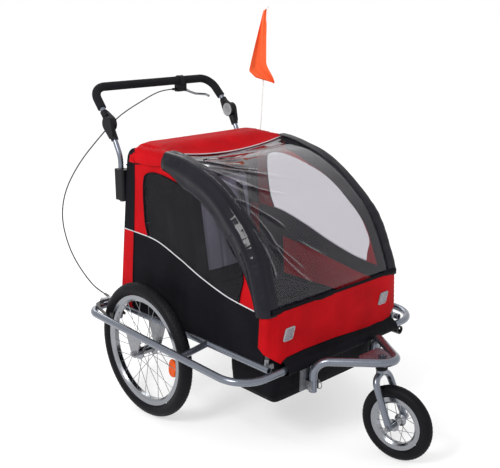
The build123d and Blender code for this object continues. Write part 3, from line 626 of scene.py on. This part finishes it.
CABLE_ROUTE = (
    (0.094, 0.681, 1.114), (0.044, 0.681, 1.114), (-0.020, 0.667, 1.102), (-0.088, 0.653, 1.081),
    (-0.154, 0.640, 1.060), (-0.218, 0.628, 1.034), (-0.276, 0.620, 0.996), (-0.325, 0.624, 0.952),
    (-0.368, 0.638, 0.903), (-0.406, 0.651, 0.848), (-0.438, 0.660, 0.790), (-0.457, 0.665, 0.728),
    (-0.463, 0.664, 0.664), (-0.457, 0.656, 0.600), (-0.446, 0.641, 0.540), (-0.431, 0.616, 0.486),
    (-0.412, 0.585, 0.436), (-0.3938, 0.5611, 0.4024), (-0.3723, 0.5407, 0.3819),
)
CABLE_WIDTH = 0.005


def spline_line(route):
    """Points along the smooth NURBS line that route controls."""
    curve = bpy.data.curves.new("route", "CURVE")
    curve.dimensions = "3D"
    spline = curve.splines.new("NURBS")
    spline.points.add(len(route) - 1)
    for point, place in zip(spline.points, route):
        point.co = (*place, 1)
    spline.order_u = 3
    spline.use_endpoint_u = True
    mesh = bpy.data.meshes.new_from_object(bpy.data.objects.new("route", curve))
    return [v.co.copy() for v in mesh.vertices]


def lay_cable():
    """The brake cable, from the lever's bracket down to the caliper."""
    line = spline_line(CABLE_ROUTE)
    cable = tube("brake_cable_sheath", line, CABLE_WIDTH / 2, FINISHES["cable"], 12)
    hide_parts("brake_cable")
    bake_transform(cable)


# Cabin

def side_point(side, y, z, out):
    """A point on a side's outer face, out from it."""
    return Vector((side * (half_width(z) + out), y, z))


def side_swell(y, z, seed):
    """How far the side cloth stands out, from its own folds."""
    soft = waver(y * 6, z * 6, seed) * 0.0035 * smoothstep(-0.29, -0.22, y)
    return soft + crinkle(y * 16, z * 16, seed + 3, 2) * 0.0006


def arch_rim(inset=0.0005, count=90):
    """Points of the cabin's outline, a little in along the side's face."""
    return [inward(ARCH.length * k / count, inset) for k in range(count + 1)]


def side_regions():
    """The side's cut pieces: window, red border, black skirt, and the two halves of the rear band."""
    piping = [(p.x, p.y) for p in smooth_line(PIPING)]
    window_top = [(p.x, p.y) for p in smooth_line(WINDOW_TOP)]
    sill = [p for p in piping if window_top[-1][0] + 0.004 < p[0] < window_top[0][0] - 0.004]
    window = window_top + sill[::-1]
    rim = arch_rim()
    border_top, skirt_low = (REAR_BAND_Y, BORDER_TOP_Z), (REAR_BAND_Y, SIDE_BOTTOM_Z)
    band_split = [(REAR_EDGE_Y, BAND_PIPING_Z), (REAR_BAND_Y, BAND_PIPING_Z)]
    front_rim = [p for p in rim if p[0] < REAR_BAND_Y and p[1] > piping[-1][1] + 0.003]
    border = piping + front_rim + [border_top]
    front_edge = [(y + 0.010, z) for y, z in rim if y < 0 and z < piping[-1][1] - 0.003]
    skirt = piping + front_edge[::-1] + [skirt_low]
    rear_rim = [p for p in rim if p[0] > REAR_BAND_Y]
    band_top = [border_top] + [p for p in rear_rim if p[1] > BAND_PIPING_Z + 0.003] + band_split
    band_low = band_split[::-1] + [p for p in rear_rim if p[1] < BAND_PIPING_Z - 0.003] + [skirt_low]
    return [(window, 2), (border, 0), (skirt, 1), (band_top, 1), (band_low, 0)]


def side_panel(side, name):
    """One side: red border, clear window, black skirt and rear band, sewn into one sheet."""
    seed = 11.0 + side
    glass = side_regions()[0][0]

    def place(y, z):
        swell = side_swell(y, z, seed)
        if inside((y, z), glass):
            swell += waver(y * 9, z * 14, seed + 5) * 0.003 - 0.001
        return side_point(side, y, z, swell - 0.0015)

    finishes = [FINISHES["side_fabric"], FINISHES["black_fabric"], WINDOW]
    sheet = patchwork("side_sheet_" + name, side_regions(), 0.013, place, finishes)
    cloth(
        sheet, "side_fabric", "side_panel_" + name,
        flat=(0.80, 0.61), rests_on=["side_hoop_" + name], area=0.406,
    )


def side_piping(side, name):
    """The reflective piping, the window's rim and the seams on a side's outer face."""
    black = FINISHES["black_fabric"]
    band = [(y, BAND_PIPING_Z) for y in (0.408, 0.427, 0.446, 0.463)]
    band_seam = [(REAR_BAND_Y, 0.36 + 0.0135 * k) for k in range(41)]
    for prefix, line, out, radius, material, flat in (
        ("piping_", smooth_line(PIPING), 0.0008, 0.0020, PIPE, 1.0),
        ("band_piping_", band, 0.0006, 0.0018, PIPE, 1.0),
        ("window_rim_", smooth_line(WINDOW_TOP), 0.0004, 0.0030, black, 0.6),
        ("band_seam_", band_seam, 0.0002, 0.0022, black, 0.5),
    ):
        points = [side_point(side, y, z, side_swell(y, z, 11.0 + side) + out) for y, z in line]
        wear(tube(prefix + name, points, radius, material, flat=flat), "side_fabric")
    lap = [side_point(side, 0.225 + 0.023 * k, 0.930 - 0.0042 * k, 0.0020) for k in range(11)]
    wear(tube("roof_seam_" + name, lap, 0.0030, black, flat=0.5), "side_fabric")


def side_lining(side, name):
    """The red pocket on the side's inner face, low in front of the seat."""
    corners = [
        (0.262, 0.375), (0.262, 0.532), (0.140, 0.520), (0.010, 0.497), (-0.120, 0.475),
        (-0.280, 0.460), (-0.280, 0.375),
    ]

    def place(y, z):
        return side_point(side, y, z, -0.0075 + side_swell(y, z, 31.0 + side) * 0.5)

    cloth(
        patchwork("lining_" + name, [(corners, 0)], 0.016, place), "red_fabric",
        flat=(0.545, 0.16), rests_on=["side_panel_" + name], area=0.070,
    )


def arch_sleeve(side, name):
    """The dark gathered sleeve that covers the hoop's front corner, from the hem up to the roof."""
    start, end = HEM_S - 0.012, ROOF_S + 0.004
    lap, turn = 0.034, 0.012
    bend = lap + turn * QUARTER_TURN

    def place(u, v):
        s = start + (end - start) * u
        width = 0.043 + 0.030 * smoothstep(0.03, 0.32, u) - 0.027 * smoothstep(0.80, 1.0, u)
        t = v * (bend + width)
        folds = 0.0010 + max(-0.0006, waver(s * 9, t * 22, side) * 0.0040)
        folds += crinkle(s * 26, t * 5, 40.0 + side, 2) * 0.0012 * smoothstep(0.60, 0.25, u)
        edge = min(1.0, t / 0.008, (bend + width - t) / 0.010)
        if t < lap:
            x = half_width(ARCH.read(s)[0].y) - turn - (lap - t)
            return over_arch(s, side * x, 0.0045 + folds * edge)
        if t < bend:
            return round_corner(s, side, turn, (t - lap) / turn, turn + 0.0045 + folds)
        inset = t - bend + turn
        ends = 1 - 0.6 * bump(u, 0.0, 0.03) - 0.5 * bump(u, 1.0, 0.02)
        swell = 0.0085 * bump(inset, 0.030, 0.020) * ends
        return side_point(side, *inward(s, inset), 0.0045 * edge + 0.0012 + swell + folds * edge)

    cloth(
        grid("arch_sleeve_" + name, 260, 26, place, [SLEEVE]), "black_fabric",
        flat=(0.125, 0.80), held="gathered", rests_on=["side_panel_" + name], offset=side,
    )


def arch_facing(side, name):
    """The dark facing on the side's inner face, that backs the sleeve from the hem to the roof."""
    start, end = HEM_S, ROOF_S + 0.004

    def place(u, v):
        width = 0.074 - 0.020 * smoothstep(0.75, 1.0, u)
        y, z = inward(start + (end - start) * u, 0.004 + width * v)
        return side_point(side, y, z, side_swell(y, z, 11.0 + side) - 0.0045)

    cloth(
        grid("arch_facing_" + name, 120, 10, place), "black_fabric",
        flat=(0.067, 0.79), rests_on=["side_panel_" + name],
    )


def roof():
    """The red roof: one sheet over both hoops, its laps turned down the sides and the back."""
    turn, lap = 0.030, 0.022

    def place(u, v):
        s = ROOF_S + (REAR_S - ROOF_S) * u
        flat = half_width(ARCH.read(s)[0].y) - turn
        bend = flat + turn * QUARTER_TURN
        across = (2 * v - 1) * (bend + lap)
        side, far = (1, across) if across > 0 else (-1, -across)
        folds = crinkle(s * 9, across * 9, 60.0, 3) * 0.0016 * smoothstep(0.12, 0.30, far)
        folds += crinkle(s * 22 + far * 16, far * 6, 61.0, 2) * 0.0035 * smoothstep(0.20, 0.29, far)
        lift = 0.003 + folds
        if far < flat:
            p = over_arch(s, side * far, lift)
            p.z -= roof_drop(far, p.y) * smoothstep(0.0, 0.10, REAR_S - s)
            return p
        if far < bend:
            return round_corner(s, side, turn, (far - flat) / turn, turn + lift)
        inset = (far - bend) * smoothstep(-0.35, 0.35, u) + turn
        return side_point(side, *inward(s, inset), 0.0032 + folds)

    cloth(
        grid("roof_sheet", 70, 150, place), "red_fabric", "roof_cover",
        flat=(0.70, 0.33), rests_on=HOOPS, offset=-1.0,
    )
    edge = []
    for k in range(61):
        x = -0.285 + 0.57 * k / 60
        edge.append(over_arch(ROOF_S, x, 0.0045) - Vector((0, 0, roof_drop(x, ROOF_FRONT_Y))))
    wear(tube("roof_edge_piping", edge, 0.0018, PIPE), "red_fabric")


# The clear cover's soft folds, that fan out from its upper right corner: angle, width, height and length.
FOLDS = (
    (0.10, 0.011, 0.0050, 0.30), (-0.16, 0.016, 0.0060, 0.24), (-0.48, 0.012, 0.0055, 0.36),
    (-0.74, 0.020, 0.0050, 0.22), (-1.02, 0.013, 0.0045, 0.30), (-1.28, 0.010, 0.0040, 0.26),
)
# Its long sharp creases: a line of (x, distance under the roof's edge), width and height.
CREASES = (
    (((-0.298, 0.330), (-0.247, 0.370), (-0.198, 0.432), (-0.151, 0.490)), 0.0060, 0.0070),
    (((-0.242, 0.530), (-0.218, 0.576), (-0.188, 0.616), (-0.154, 0.654), (-0.113, 0.690)), 0.0055, 0.0070),
    (((-0.225, 0.530), (-0.200, 0.566), (-0.165, 0.606), (-0.130, 0.640)), 0.0045, 0.0050),
    (((-0.120, 0.545), (-0.079, 0.582), (-0.040, 0.607), (-0.015, 0.617)), 0.0050, 0.0060),
    (((-0.285, 0.450), (-0.272, 0.560), (-0.262, 0.640)), 0.0060, 0.0060),
    (((-0.250, 0.400), (-0.228, 0.500), (-0.214, 0.600)), 0.0055, 0.0050),
    (((-0.285, 0.120), (-0.262, 0.215), (-0.205, 0.300), (-0.120, 0.350), (-0.060, 0.372)), 0.0060, 0.0060),
    (((-0.270, 0.090), (-0.215, 0.170), (-0.150, 0.215), (-0.080, 0.240)), 0.0060, 0.0060),
    (((-0.290, 0.170), (-0.283, 0.300), (-0.281, 0.420)), 0.0055, 0.0060),
)


def cover_folds(x, s):
    """How far the clear cover stands out at x and distance s up the arch: slack, and soft fanned folds."""
    total = waver(x * 3.5, s * 3, 71.0) * 0.006
    away, up = x + 0.300, s - (ROOF_S - 0.150)
    reach = math.hypot(away, up)
    angle = math.atan2(up, away) + 0.25 * waver(x * 6, s * 6, 75.0)
    for lean, width, height, length in FOLDS:
        fade = smoothstep(0.03, 0.10, reach) * smoothstep(length, length * 0.45, reach)
        total += height * bump((angle - lean) * reach, 0.0, width) * fade
    across = abs(x + 0.05 * math.sin(9 * s))
    total += 0.0035 * bump(ROOF_S - s, 0.055 + 0.12 * across, 0.012) * smoothstep(0.29, 0.15, across)
    return total * smoothstep(0.31, 0.27, abs(x))


def cover_crease(x, s):
    """How far the clear cover's sharp creases stand out at x and distance s up the arch."""
    under = ROOF_S - s
    total = 0.0
    for line, width, height in CREASES:
        nearest = 1.0
        for (ax, a_s), (bx, b_s) in zip(line, line[1:]):
            run = (bx - ax) ** 2 + (b_s - a_s) ** 2
            share = ((x - ax) * (bx - ax) + (under - a_s) * (b_s - a_s)) / run
            share = max(0.0, min(1.0, share))
            gap = math.hypot(x - ax - (bx - ax) * share, under - a_s - (b_s - a_s) * share)
            nearest = min(nearest, gap)
        top, foot = line[0][1], line[-1][1]
        ends = smoothstep(top - 0.01, top + 0.03, under) * smoothstep(foot + 0.01, foot - 0.03, under)
        total += height * bump(nearest, 0.0, width) * ends
    return total


def front_cover():
    """The clear cover over the cabin's front, from the roof's edge down to its hem."""
    start, end = HEM_S - 0.004, ROOF_S + 0.004

    def place(u, v):
        s = start + (end - start) * u
        x = (2 * v - 1) * (half_width(ARCH.read(s)[0].y) - 0.004)
        p = over_arch(s, x, 0.0012 + cover_folds(x, s) + cover_crease(x, s))
        across = 1 - min(1.0, abs(x) / SPAN_HALF_WIDTH) ** 2
        p.z -= ROOF_SAG * across * smoothstep(0.17, 0.0, end - s)
        return p

    cover = grid("clear_cover", 300, 200, place)
    thicken(cover, FILM, 1.0)
    wear(cover, "clear_pvc", "front_cover")
    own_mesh(cover)


def cover_hem():
    """The black webbing hem on the cover's lower edge."""

    def place(u, v):
        x = (2 * u - 1) * 0.317
        around = math.tau * v
        centre = HEM_Z + 0.001 + 0.004 * (x / 0.32) ** 2
        wave = waver(x * 25, 0, 81.0) * 0.0008
        return Vector((x, -0.3115 + 0.0028 * math.cos(around) + wave, centre + 0.0095 * math.sin(around)))

    hem = grid("hem_band", 90, 16, place, [FINISHES["black_fabric"]], closed=True)
    wear(hem, "black_plastic", "cover_hem", body="hem")


def front_panel():
    """The red panel under the cover: one sheet round the hoops' legs, cut away at its lower corners."""
    flank, leg, crease = (0.3345, -0.270), (0.3345, -0.2990), (0.286, -0.3118)
    corners = [(-x, y) for x, y in (flank, leg, crease)] + [crease, leg, flank]
    plan = Path(rounded(corners, (0.0110, 0.004, 0.004, 0.0110), 0.002))
    half = plan.length / 2

    def place(d, z):
        spot = plan.read(d + half)[0]
        inner = smoothstep(0.29, 0.24, abs(d))
        sag = waver(d * 5, z * 7, 91.0) * 0.0035 + crinkle(d * 9, z * 9, 92.0, 2) * 0.0008
        return Vector((spot.x * half_width(z) / half_width(0.43), spot.y + (sag - 0.002) * inner, z))

    cut = [
        (-half, HEM_Z), (-half, 0.404), (-0.315, 0.372), (-0.272, 0.342), (-0.250, 0.358), (-0.170, 0.362),
        (0.0, 0.359), (0.165, 0.348), (0.268, 0.342), (0.315, 0.372), (half, 0.404), (half, HEM_Z),
    ]
    cloth(
        patchwork("front_panel_sheet", [(cut, 0)], 0.010, place), "red_fabric", "front_panel",
        flat=(0.75, 0.18), rests_on=HOOPS,
    )


def front_reflector(side, name):
    """A silver reflector on the red panel: a framed face that leans to the left side."""
    profile = ((1.0, 0.0), (1.0, 0.0035), (0.86, 0.0042), (0.82, 0.0030), (0.5, 0.0034), (0.0, 0.0036))
    half, lean = 0.0215, 0.32

    def place(u, v):
        size, out = profile[round(u * (len(profile) - 1))]
        a = math.tau * v
        x = squared(math.cos(a), 0.28) * size * half
        z = squared(math.sin(a), 0.28) * size * half
        return Vector((side * 0.2425 + x + z * lean, -0.3150 - out, 0.4385 + z))

    lens = grid(
        "front_reflector_" + name, len(profile), 48, place, [FINISHES["reflector"], FINISHES["grey_plastic"]],
        lambda u: int(u < 0.45), closed=True,
    )
    lens.data.set_sharp_from_angle(angle=math.radians(30))
    wear(lens, "reflector", "reflectors")


def front_skirt():
    """The black cloth from the red panel's lower edge, round the front crossbar to the footwell bag."""
    section = smooth_line((
        (-0.303, 0.392), (-0.305, 0.365), (-0.316, 0.346), (-0.334, 0.336), (-0.3425, 0.322),
        (-0.3405, 0.309), (-0.326, 0.3015), (-0.308, 0.301), (-0.300, 0.309),
    ), 5)

    def place(u, v):
        y, z = along(section, v)
        x = -0.268 + (0.300 + 0.268) * u
        wave = crinkle(x * 14, v * 3, 95.0, 3) * 0.0015 * smoothstep(0, 0.2, v)
        return Vector((x, y - wave, z + wave * 0.5))

    cloth(
        grid("front_skirt", 110, 40, place), "black_fabric",
        flat=(0.568, 0.155), rests_on=["front_crossbar"],
    )


def rear_panel():
    """The back: black above, red below, with piping between."""
    start = REAR_S - 0.030
    run = ARCH.length - start
    rows = 64
    split = round((1 - (BAND_PIPING_Z - SIDE_BOTTOM_Z) / run) * (rows - 1)) / (rows - 1)

    def place(u, v):
        s = start + run * u
        z = ARCH.read(s)[0].y
        x = (2 * v - 1) * (half_width(z) - 0.001)
        swell = waver(x * 4, z * 4, 101.0) * 0.005 + crinkle(x * 9, z * 9, 102.0, 2) * 0.001
        edge = smoothstep(0, 0.04, half_width(z) - abs(x)) * smoothstep(0.02, 0.16, u)
        return over_arch(s, x, 0.0022 * smoothstep(0.0, 0.10, u) + swell * edge)

    panel = grid(
        "rear_panel_sheet", rows, 84, place, [FINISHES["black_fabric"], FINISHES["red_fabric"]],
        lambda u: int(u > split),
    )
    cloth(panel, "black_fabric", "rear_panel", flat=(0.65, 0.583), rests_on=HOOPS)
    line = [place(split, v / 60) + Vector((0, 0.0015, 0)) for v in range(61)]
    wear(tube("rear_piping", line, 0.0026, PIPE), "black_fabric")


def rear_pocket():
    """The black storage pocket on the back, with its red binding."""

    def place(u, v):
        z = 0.625 - 0.245 * u
        x = (2 * v - 1) * 0.245
        belly = 0.034 * abs(math.sin(math.pi * v)) ** 0.35 * (0.25 + 0.75 * smoothstep(0.0, 0.8, u))
        belly *= 1 - smoothstep(0.86, 1.0, u)
        back_y = 0.480 - (z - SIDE_BOTTOM_Z) * 0.030 / 0.604 + 0.0035
        fold = crinkle(x * 10, z * 6, 105.0, 2) * 0.002 * min(1, belly / 0.01)
        return Vector((x, back_y + belly + fold, z))

    cloth(
        grid("rear_pocket", 34, 60, place), "black_fabric",
        flat=(0.56, 0.275), held="gathered", rests_on=["rear_panel_sheet"],
    )
    top = [place(0, v / 40) + Vector((0, 0.001, 0)) for v in range(41)]
    wear(tube("pocket_binding", top, 0.0035, FINISHES["red_fabric"]), "black_fabric")


def floor_sheet():
    """The black floor sheet, a little slack between the rails."""

    def place(u, v):
        x, y = (2 * v - 1) * 0.330, -0.080 + 0.532 * u
        dip = 0.004 * math.sin(math.pi * u) * math.sin(math.pi * v)
        return Vector((x, y, 0.3555 - dip + waver(x * 7, y * 7, 111.0) * 0.0012))

    cloth(
        grid("floor_sheet", 50, 60, place), "black_fabric", "floor_tub",
        flat=(0.660, 0.532), rests_on=["frame_crossbars"], thickness=0.002,
    )


def footwell_bag():
    """The footwell bag, hanging from the flange round its mouth beside the rails."""
    centre_y, top_z, depth = -0.188, 0.356, 0.160
    flange, wall = 0.06, 0.62

    def outline(a, grow, rear_cut=0.0):
        """A point round a rectangle with rounded corners."""
        x = squared(math.cos(a), 1 / 9) * 0.293 * grow
        y = squared(math.sin(a), 1 / 9) * (0.1165 - rear_cut) * grow
        return x, y

    def place(u, v):
        a = math.tau * v
        if u < flange:
            x, y = outline(a, 1.0)
            return Vector((x * (1.12 - 2 * u), centre_y + y, 0.3530 + 0.05 * u))
        u = (u - flange) / (1 - flange)
        if u < wall:
            share = u / wall
            x, y = outline(a, 1.0 - 0.018 * share - 0.03 * bump(share, 1.0, 0.08), 0.010 * share)
            z = top_z - (depth - 0.004) * (1 - (1 - share) ** 1.15)
        else:
            share = (u - wall) / (1 - wall)
            x, y = outline(a, 0.952 * (1 - share), 0.010)
            z = top_z - depth - 0.006 * math.sin(math.pi * share * 0.5)
        wave = crinkle(x * 6, y * 6 + z * 8, 115.0, 3) + waver(x * 9, y * 9, z * 9)
        pull = math.sin(math.pi * min(1.0, u / wall)) * abs(math.cos(a) * math.sin(a)) ** 0.3
        grow = (wave * 0.004 * bump(u, 0.40, 0.25) - pull * 0.008) / 0.2
        return Vector((x * (1 + grow * 0.6), centre_y + y * (1 + grow), z))

    cloth(
        grid("footwell_bag", 60, 120, place, closed=True), "black_fabric", "floor_tub",
        flat=(0.92, 0.56), held="hung", rests_on=["side_rail_right", "side_rail_left"],
        area=0.40, thickness=0.002,
    )


# Seat

def puffed(name, low, high, corner, cap=0.008):
    """A padded block: a rounded box blown up as cloth under pressure, no point moving further than cap."""
    centre = (Vector(low) + Vector(high)) / 2
    half = (Vector(high) - Vector(low)) / 2 - Vector((cap, cap, cap)) * 0.7
    corners = [centre + half * Vector((x, y, z)) for x in (-1, 1) for y in (-1, 1) for z in (-1, 1)]
    faces = [(0, 1, 3, 2), (4, 6, 7, 5), (0, 4, 5, 1), (2, 3, 7, 6), (0, 2, 6, 4), (1, 5, 7, 3)]
    piece = new_object(name, corners, faces)
    bevel = piece.modifiers.new("edges", "BEVEL")
    bevel.width = corner
    bevel.segments = 4
    remesh = piece.modifiers.new("cloth mesh", "REMESH")
    remesh.mode = "VOXEL"
    remesh.voxel_size = 0.007
    settle(piece)
    blow_up(piece, cap)
    piece.data.materials.clear()
    piece.data.materials.append(SEAT)
    return piece


def blow_up(piece, cap):
    """Runs the cloth under pressure and no gravity, and keeps every point within cap of where it was."""
    last = 18
    rest = [v.co.copy() for v in piece.data.vertices]
    swell = piece.modifiers.new("pressure", "CLOTH")
    swell.settings.quality = 4
    swell.settings.use_pressure = True
    swell.settings.uniform_pressure_force = 4
    swell.settings.effector_weights.gravity = 0
    swell.point_cache.frame_end = last
    for step in range(1, last + 1):
        bpy.context.scene.frame_set(step)
    settle(piece)
    bpy.context.scene.frame_set(1)
    for v, home in zip(piece.data.vertices, rest):
        move = v.co - home
        if move.length > cap:
            v.co = home + move * (cap / move.length)


def quilt(piece, channels, axis, depth, low, high, face, sign):
    """Presses sewn channels across axis into a pad's face, from no depth at low to full depth at high."""
    for v in piece.data.vertices:
        dip = sum(bump(v.co[axis], c, 0.006) for c in channels)
        reach = smoothstep(low, high, v.co[face] * sign)
        v.co[face] -= sign * depth * dip * reach
    piece.data.update()


def subdivide(piece):
    """One smooth subdivision, applied."""
    piece.modifiers.new("smooth", "SUBSURF").levels = 1
    settle(piece, 80)


def lean_back(piece):
    """Turns the upright seat back to its lean, about its lower front edge."""
    hinge = Vector((0, 0.330, 0.357))
    turn = Matrix.Rotation(math.radians(-9.3), 4, "X")
    piece.data.transform(Matrix.Translation(hinge) @ turn @ Matrix.Translation(-hinge))
    piece.data.update()


def seat():
    """The padded bench and back, each with two places sewn in."""
    cushion = puffed("seat_cushion", (-0.266, 0.032, 0.3575), (0.266, 0.324, 0.3985), 0.016)
    quilt(cushion, (-0.135, 0.0, 0.135), 0, 0.006, 0.375, 0.392, 2, 1)
    quilt(cushion, (0.13, 0.23), 1, 0.004, 0.375, 0.392, 2, 1)
    subdivide(cushion)
    for v in cushion.data.vertices:
        v.co.z = max(v.co.z, 0.3572)
    back = puffed("seat_back", (-0.266, 0.330, 0.360), (0.266, 0.368, 0.812), 0.015)
    quilt(back, (-0.200, -0.135, -0.070, 0.0, 0.070, 0.135, 0.200), 0, 0.006, -0.352, -0.340, 1, -1)
    subdivide(back)
    # Painted light: the left place's back above 0.442 m takes the grey copy of the seat fabric, where light
    # falls on it.
    back.data.materials.append(SEAT_PAINTED_LIGHT)
    for face in back.data.polygons:
        if face.center.x > -0.015 and face.center.z > 0.442:
            face.material_index = 1
    lean_back(back)
    for pad in (cushion, back):
        wear(pad, "black_fabric", "seat")


def strap(name, line, width=0.025, thickness=0.0016):
    """A flat webbing strap along line."""
    line = smooth_line(line, 8)

    def place(u, v):
        return along(line, u) + Vector(((v - 0.5) * width, 0, 0))

    piece = grid(name, len(line), 5, place, [WEBBING])
    thicken(piece, thickness, 0.0)
    wear(piece, "black_fabric")


def harness(middle, name):
    """One child's shoulder straps, crotch strap and buckle."""
    for side, end in ((-1, "outer"), (1, "inner")):
        x = middle + side * 0.055
        strap(f"shoulder_strap_{name}_{end}", (
            (x, 0.392, 0.762), (x, 0.376, 0.735), (x, 0.350, 0.640), (x, 0.326, 0.545),
            (middle + side * 0.03, 0.292, 0.470), (middle + side * 0.012, 0.245, 0.436),
        ))
    strap(f"crotch_strap_{name}", (
        (middle, 0.140, 0.399), (middle, 0.185, 0.404), (middle, 0.225, 0.424), (middle, 0.240, 0.432),
    ))

    def shell(u, v):
        a, b = math.tau * v, math.pi * (u - 0.5)
        x = squared(math.cos(b), 0.5) * squared(math.cos(a), 0.5) * 0.022
        y = squared(math.cos(b), 0.5) * squared(math.sin(a), 0.5) * 0.008
        return Vector((middle + x, 0.243 + y, 0.434 + squared(math.sin(b), 0.5) * 0.026))

    wear(grid(f"buckle_{name}", 17, 24, shell, closed=True), "black_plastic")


# Wheels

def tyre(name, body, node, centre, axle, radius, section, bead, blocks, depth):
    """A tyre with a blocked tread and ribbed shoulders, turned about its axle."""
    centre, axle = Vector(centre), Vector(axle).normalized()
    up = Vector((0, 0, 1))
    ahead = axle.cross(up).normalized()
    middle = radius - section
    open_angle = math.acos(max(-1.0, (bead - middle) / section))

    def place(u, v):
        turn = math.tau * v
        angle = -open_angle + 2 * open_angle * u
        out = math.cos(angle)
        tread = smoothstep(0.50, 0.62, out)
        shoulder = smoothstep(0.10, 0.20, out) * (1 - smoothstep(0.42, 0.52, out))
        row = math.sin(angle) * 4.4
        shift = 0.5 if int(abs(row) + 0.5) % 2 else 0.0
        groove_round = 1 - smoothstep(0.55, 0.85, abs(math.cos(math.pi * row))) if abs(row) > 0.25 else 0.0
        groove_across = smoothstep(0.60, 0.90, abs(math.cos(math.pi * (v * blocks + shift))))
        rib = smoothstep(0.2, 0.8, math.cos(math.tau * v * blocks) * 0.5 + 0.5)
        dip = depth * (tread * (groove_round + groove_across) + 0.5 * shoulder * rib)
        reach = middle + (section - dip) * out
        side = (section - dip * 0.5) * math.sin(angle)
        return centre + (up * math.cos(turn) + ahead * math.sin(turn)) * reach + axle * side

    piece = grid(name, 41, blocks * 4, place, closed=True)
    thicken(piece, 0.003)
    wear(piece, "tyre", node, body=body)


def spoke_reflector(side, name, body):
    """The orange reflector clipped between two spokes."""
    angle = math.radians(188)
    radial = Vector((0, math.cos(angle), math.sin(angle)))
    around = Vector((0, -radial.z, radial.y))
    middle = Vector((side * WHEEL_X, WHEEL_Y, WHEEL_RADIUS)) + radial * 0.156

    def shell(u, v):
        a, b = math.tau * v, math.pi * (u - 0.5)
        ring = max(0.0, math.cos(b)) ** 0.35
        inwards = radial * (squared(math.cos(a), 0.75) * 0.020 * ring)
        sideways = around * (squared(math.sin(a), 0.75) * 0.034 * ring)
        return middle + inwards + sideways + Vector((squared(math.sin(b), 0.6) * 0.006, 0, 0))

    wear(grid("spoke_reflector_" + name, 15, 40, shell, [ORANGE], closed=True), "reflector", body=body)


# Flag

def flag():
    """The pennant, hanging in soft folds from the pole's top."""
    top = Vector((0.356, 0.398, 1.440))
    across = Vector((-0.66, 0.75, 0)).normalized()
    push = Vector((0.75, 0.66, 0))
    free = Path([(0.003, -0.008), (0.017, -0.014), (0.072, -0.250), (0.046, -0.276), (-0.030, -0.300)])

    def place(u, v):
        hoist = Vector((0.0035 - 0.034 * smoothstep(0.70, 1.0, u), -0.008 - 0.292 * u))
        spot = hoist.lerp(free.read(free.length * u)[0], v)
        fold = 0.013 * v * math.sin(8 * v + 5.0 * u) + 0.006 * v * math.sin(5 * u + 2)
        return top + across * spot.x + Vector((0, 0, spot.y)) + push * fold

    cloth(
        grid("flag_cloth", 44, 18, place), "flag_fabric", "flag",
        flat=(0.100, 0.295), held="hung", rests_on=["flag_pole"], area=0.019, thickness=0.0008,
    )


# Floor and lights

def area_light(name, place, aim, power, width):
    """A square soft light at place that shines towards aim."""
    data = bpy.data.lights.new(name, "AREA")
    data.energy = power
    data.size = width
    lamp = bpy.data.objects.new(name, data)
    bpy.context.scene.collection.objects.link(lamp)
    lamp.location = place
    lamp.rotation_mode = "QUATERNION"
    lamp.rotation_quaternion = (Vector(aim) - Vector(place)).to_track_quat("-Z", "Y")


def studio():
    """A plain pale floor under soft light from above, the right and behind."""
    size = 40
    corners = [(-size, -size, 0), (size, -size, 0), (size, size, 0), (-size, size, 0)]
    floor = new_object("studio_floor", corners, [(0, 1, 2, 3)])
    look = Look("floor", (0.50, 0.50, 0.50), 0.9)
    look.set({"Emission Color": (1, 1, 1, 1), "Emission Strength": 0.5})
    floor.data.materials.append(look.material)
    world = bpy.data.worlds.new("studio")
    bpy.context.scene.world = world
    world.use_nodes = True
    world.node_tree.nodes["Background"].inputs["Color"].default_value = (1, 1, 1, 1)
    world.node_tree.nodes["Background"].inputs["Strength"].default_value = 1.0
    area_light("key", (-3.4, -0.5, 3.0), (0, 0, 0.6), 110, 1.2)
    area_light("back", (1.5, 3.4, 3.0), (0, 0, 0.8), 40, 2.0)
    bpy.context.scene.view_settings.view_transform = "Standard"


place_camera()
dress_frame()
lay_cable()
for sign, label in SIDES:
    side_panel(sign, label)
    side_piping(sign, label)
    side_lining(sign, label)
    arch_sleeve(sign, label)
    arch_facing(sign, label)
    tyre(
        label + "_tyre_tread", "wheel_" + label, label + "_tyre",
        centre=(sign * WHEEL_X, WHEEL_Y, WHEEL_RADIUS), axle=(1, 0, 0),
        radius=WHEEL_RADIUS, section=0.024, bead=0.207, blocks=96, depth=0.0014,
    )
    spoke_reflector(sign, label, "wheel_" + label)
    hub_face(sign, label)
    harness(sign * 0.135, label)
roof()
front_cover()
cover_hem()
front_panel()
for sign, label in SIDES:
    front_reflector(sign, label)
front_skirt()
rear_panel()
rear_pocket()
floor_sheet()
footwell_bag()
seat()
flag()
tyre(
    "front_tyre_tread", "castor_wheel", "front_tyre",
    centre=(0.007472, -0.572576, 0.130), axle=(0.993572, 0.113203, 0),
    radius=0.130, section=0.020, bead=0.093, blocks=56, depth=0.0012,
)
studio()
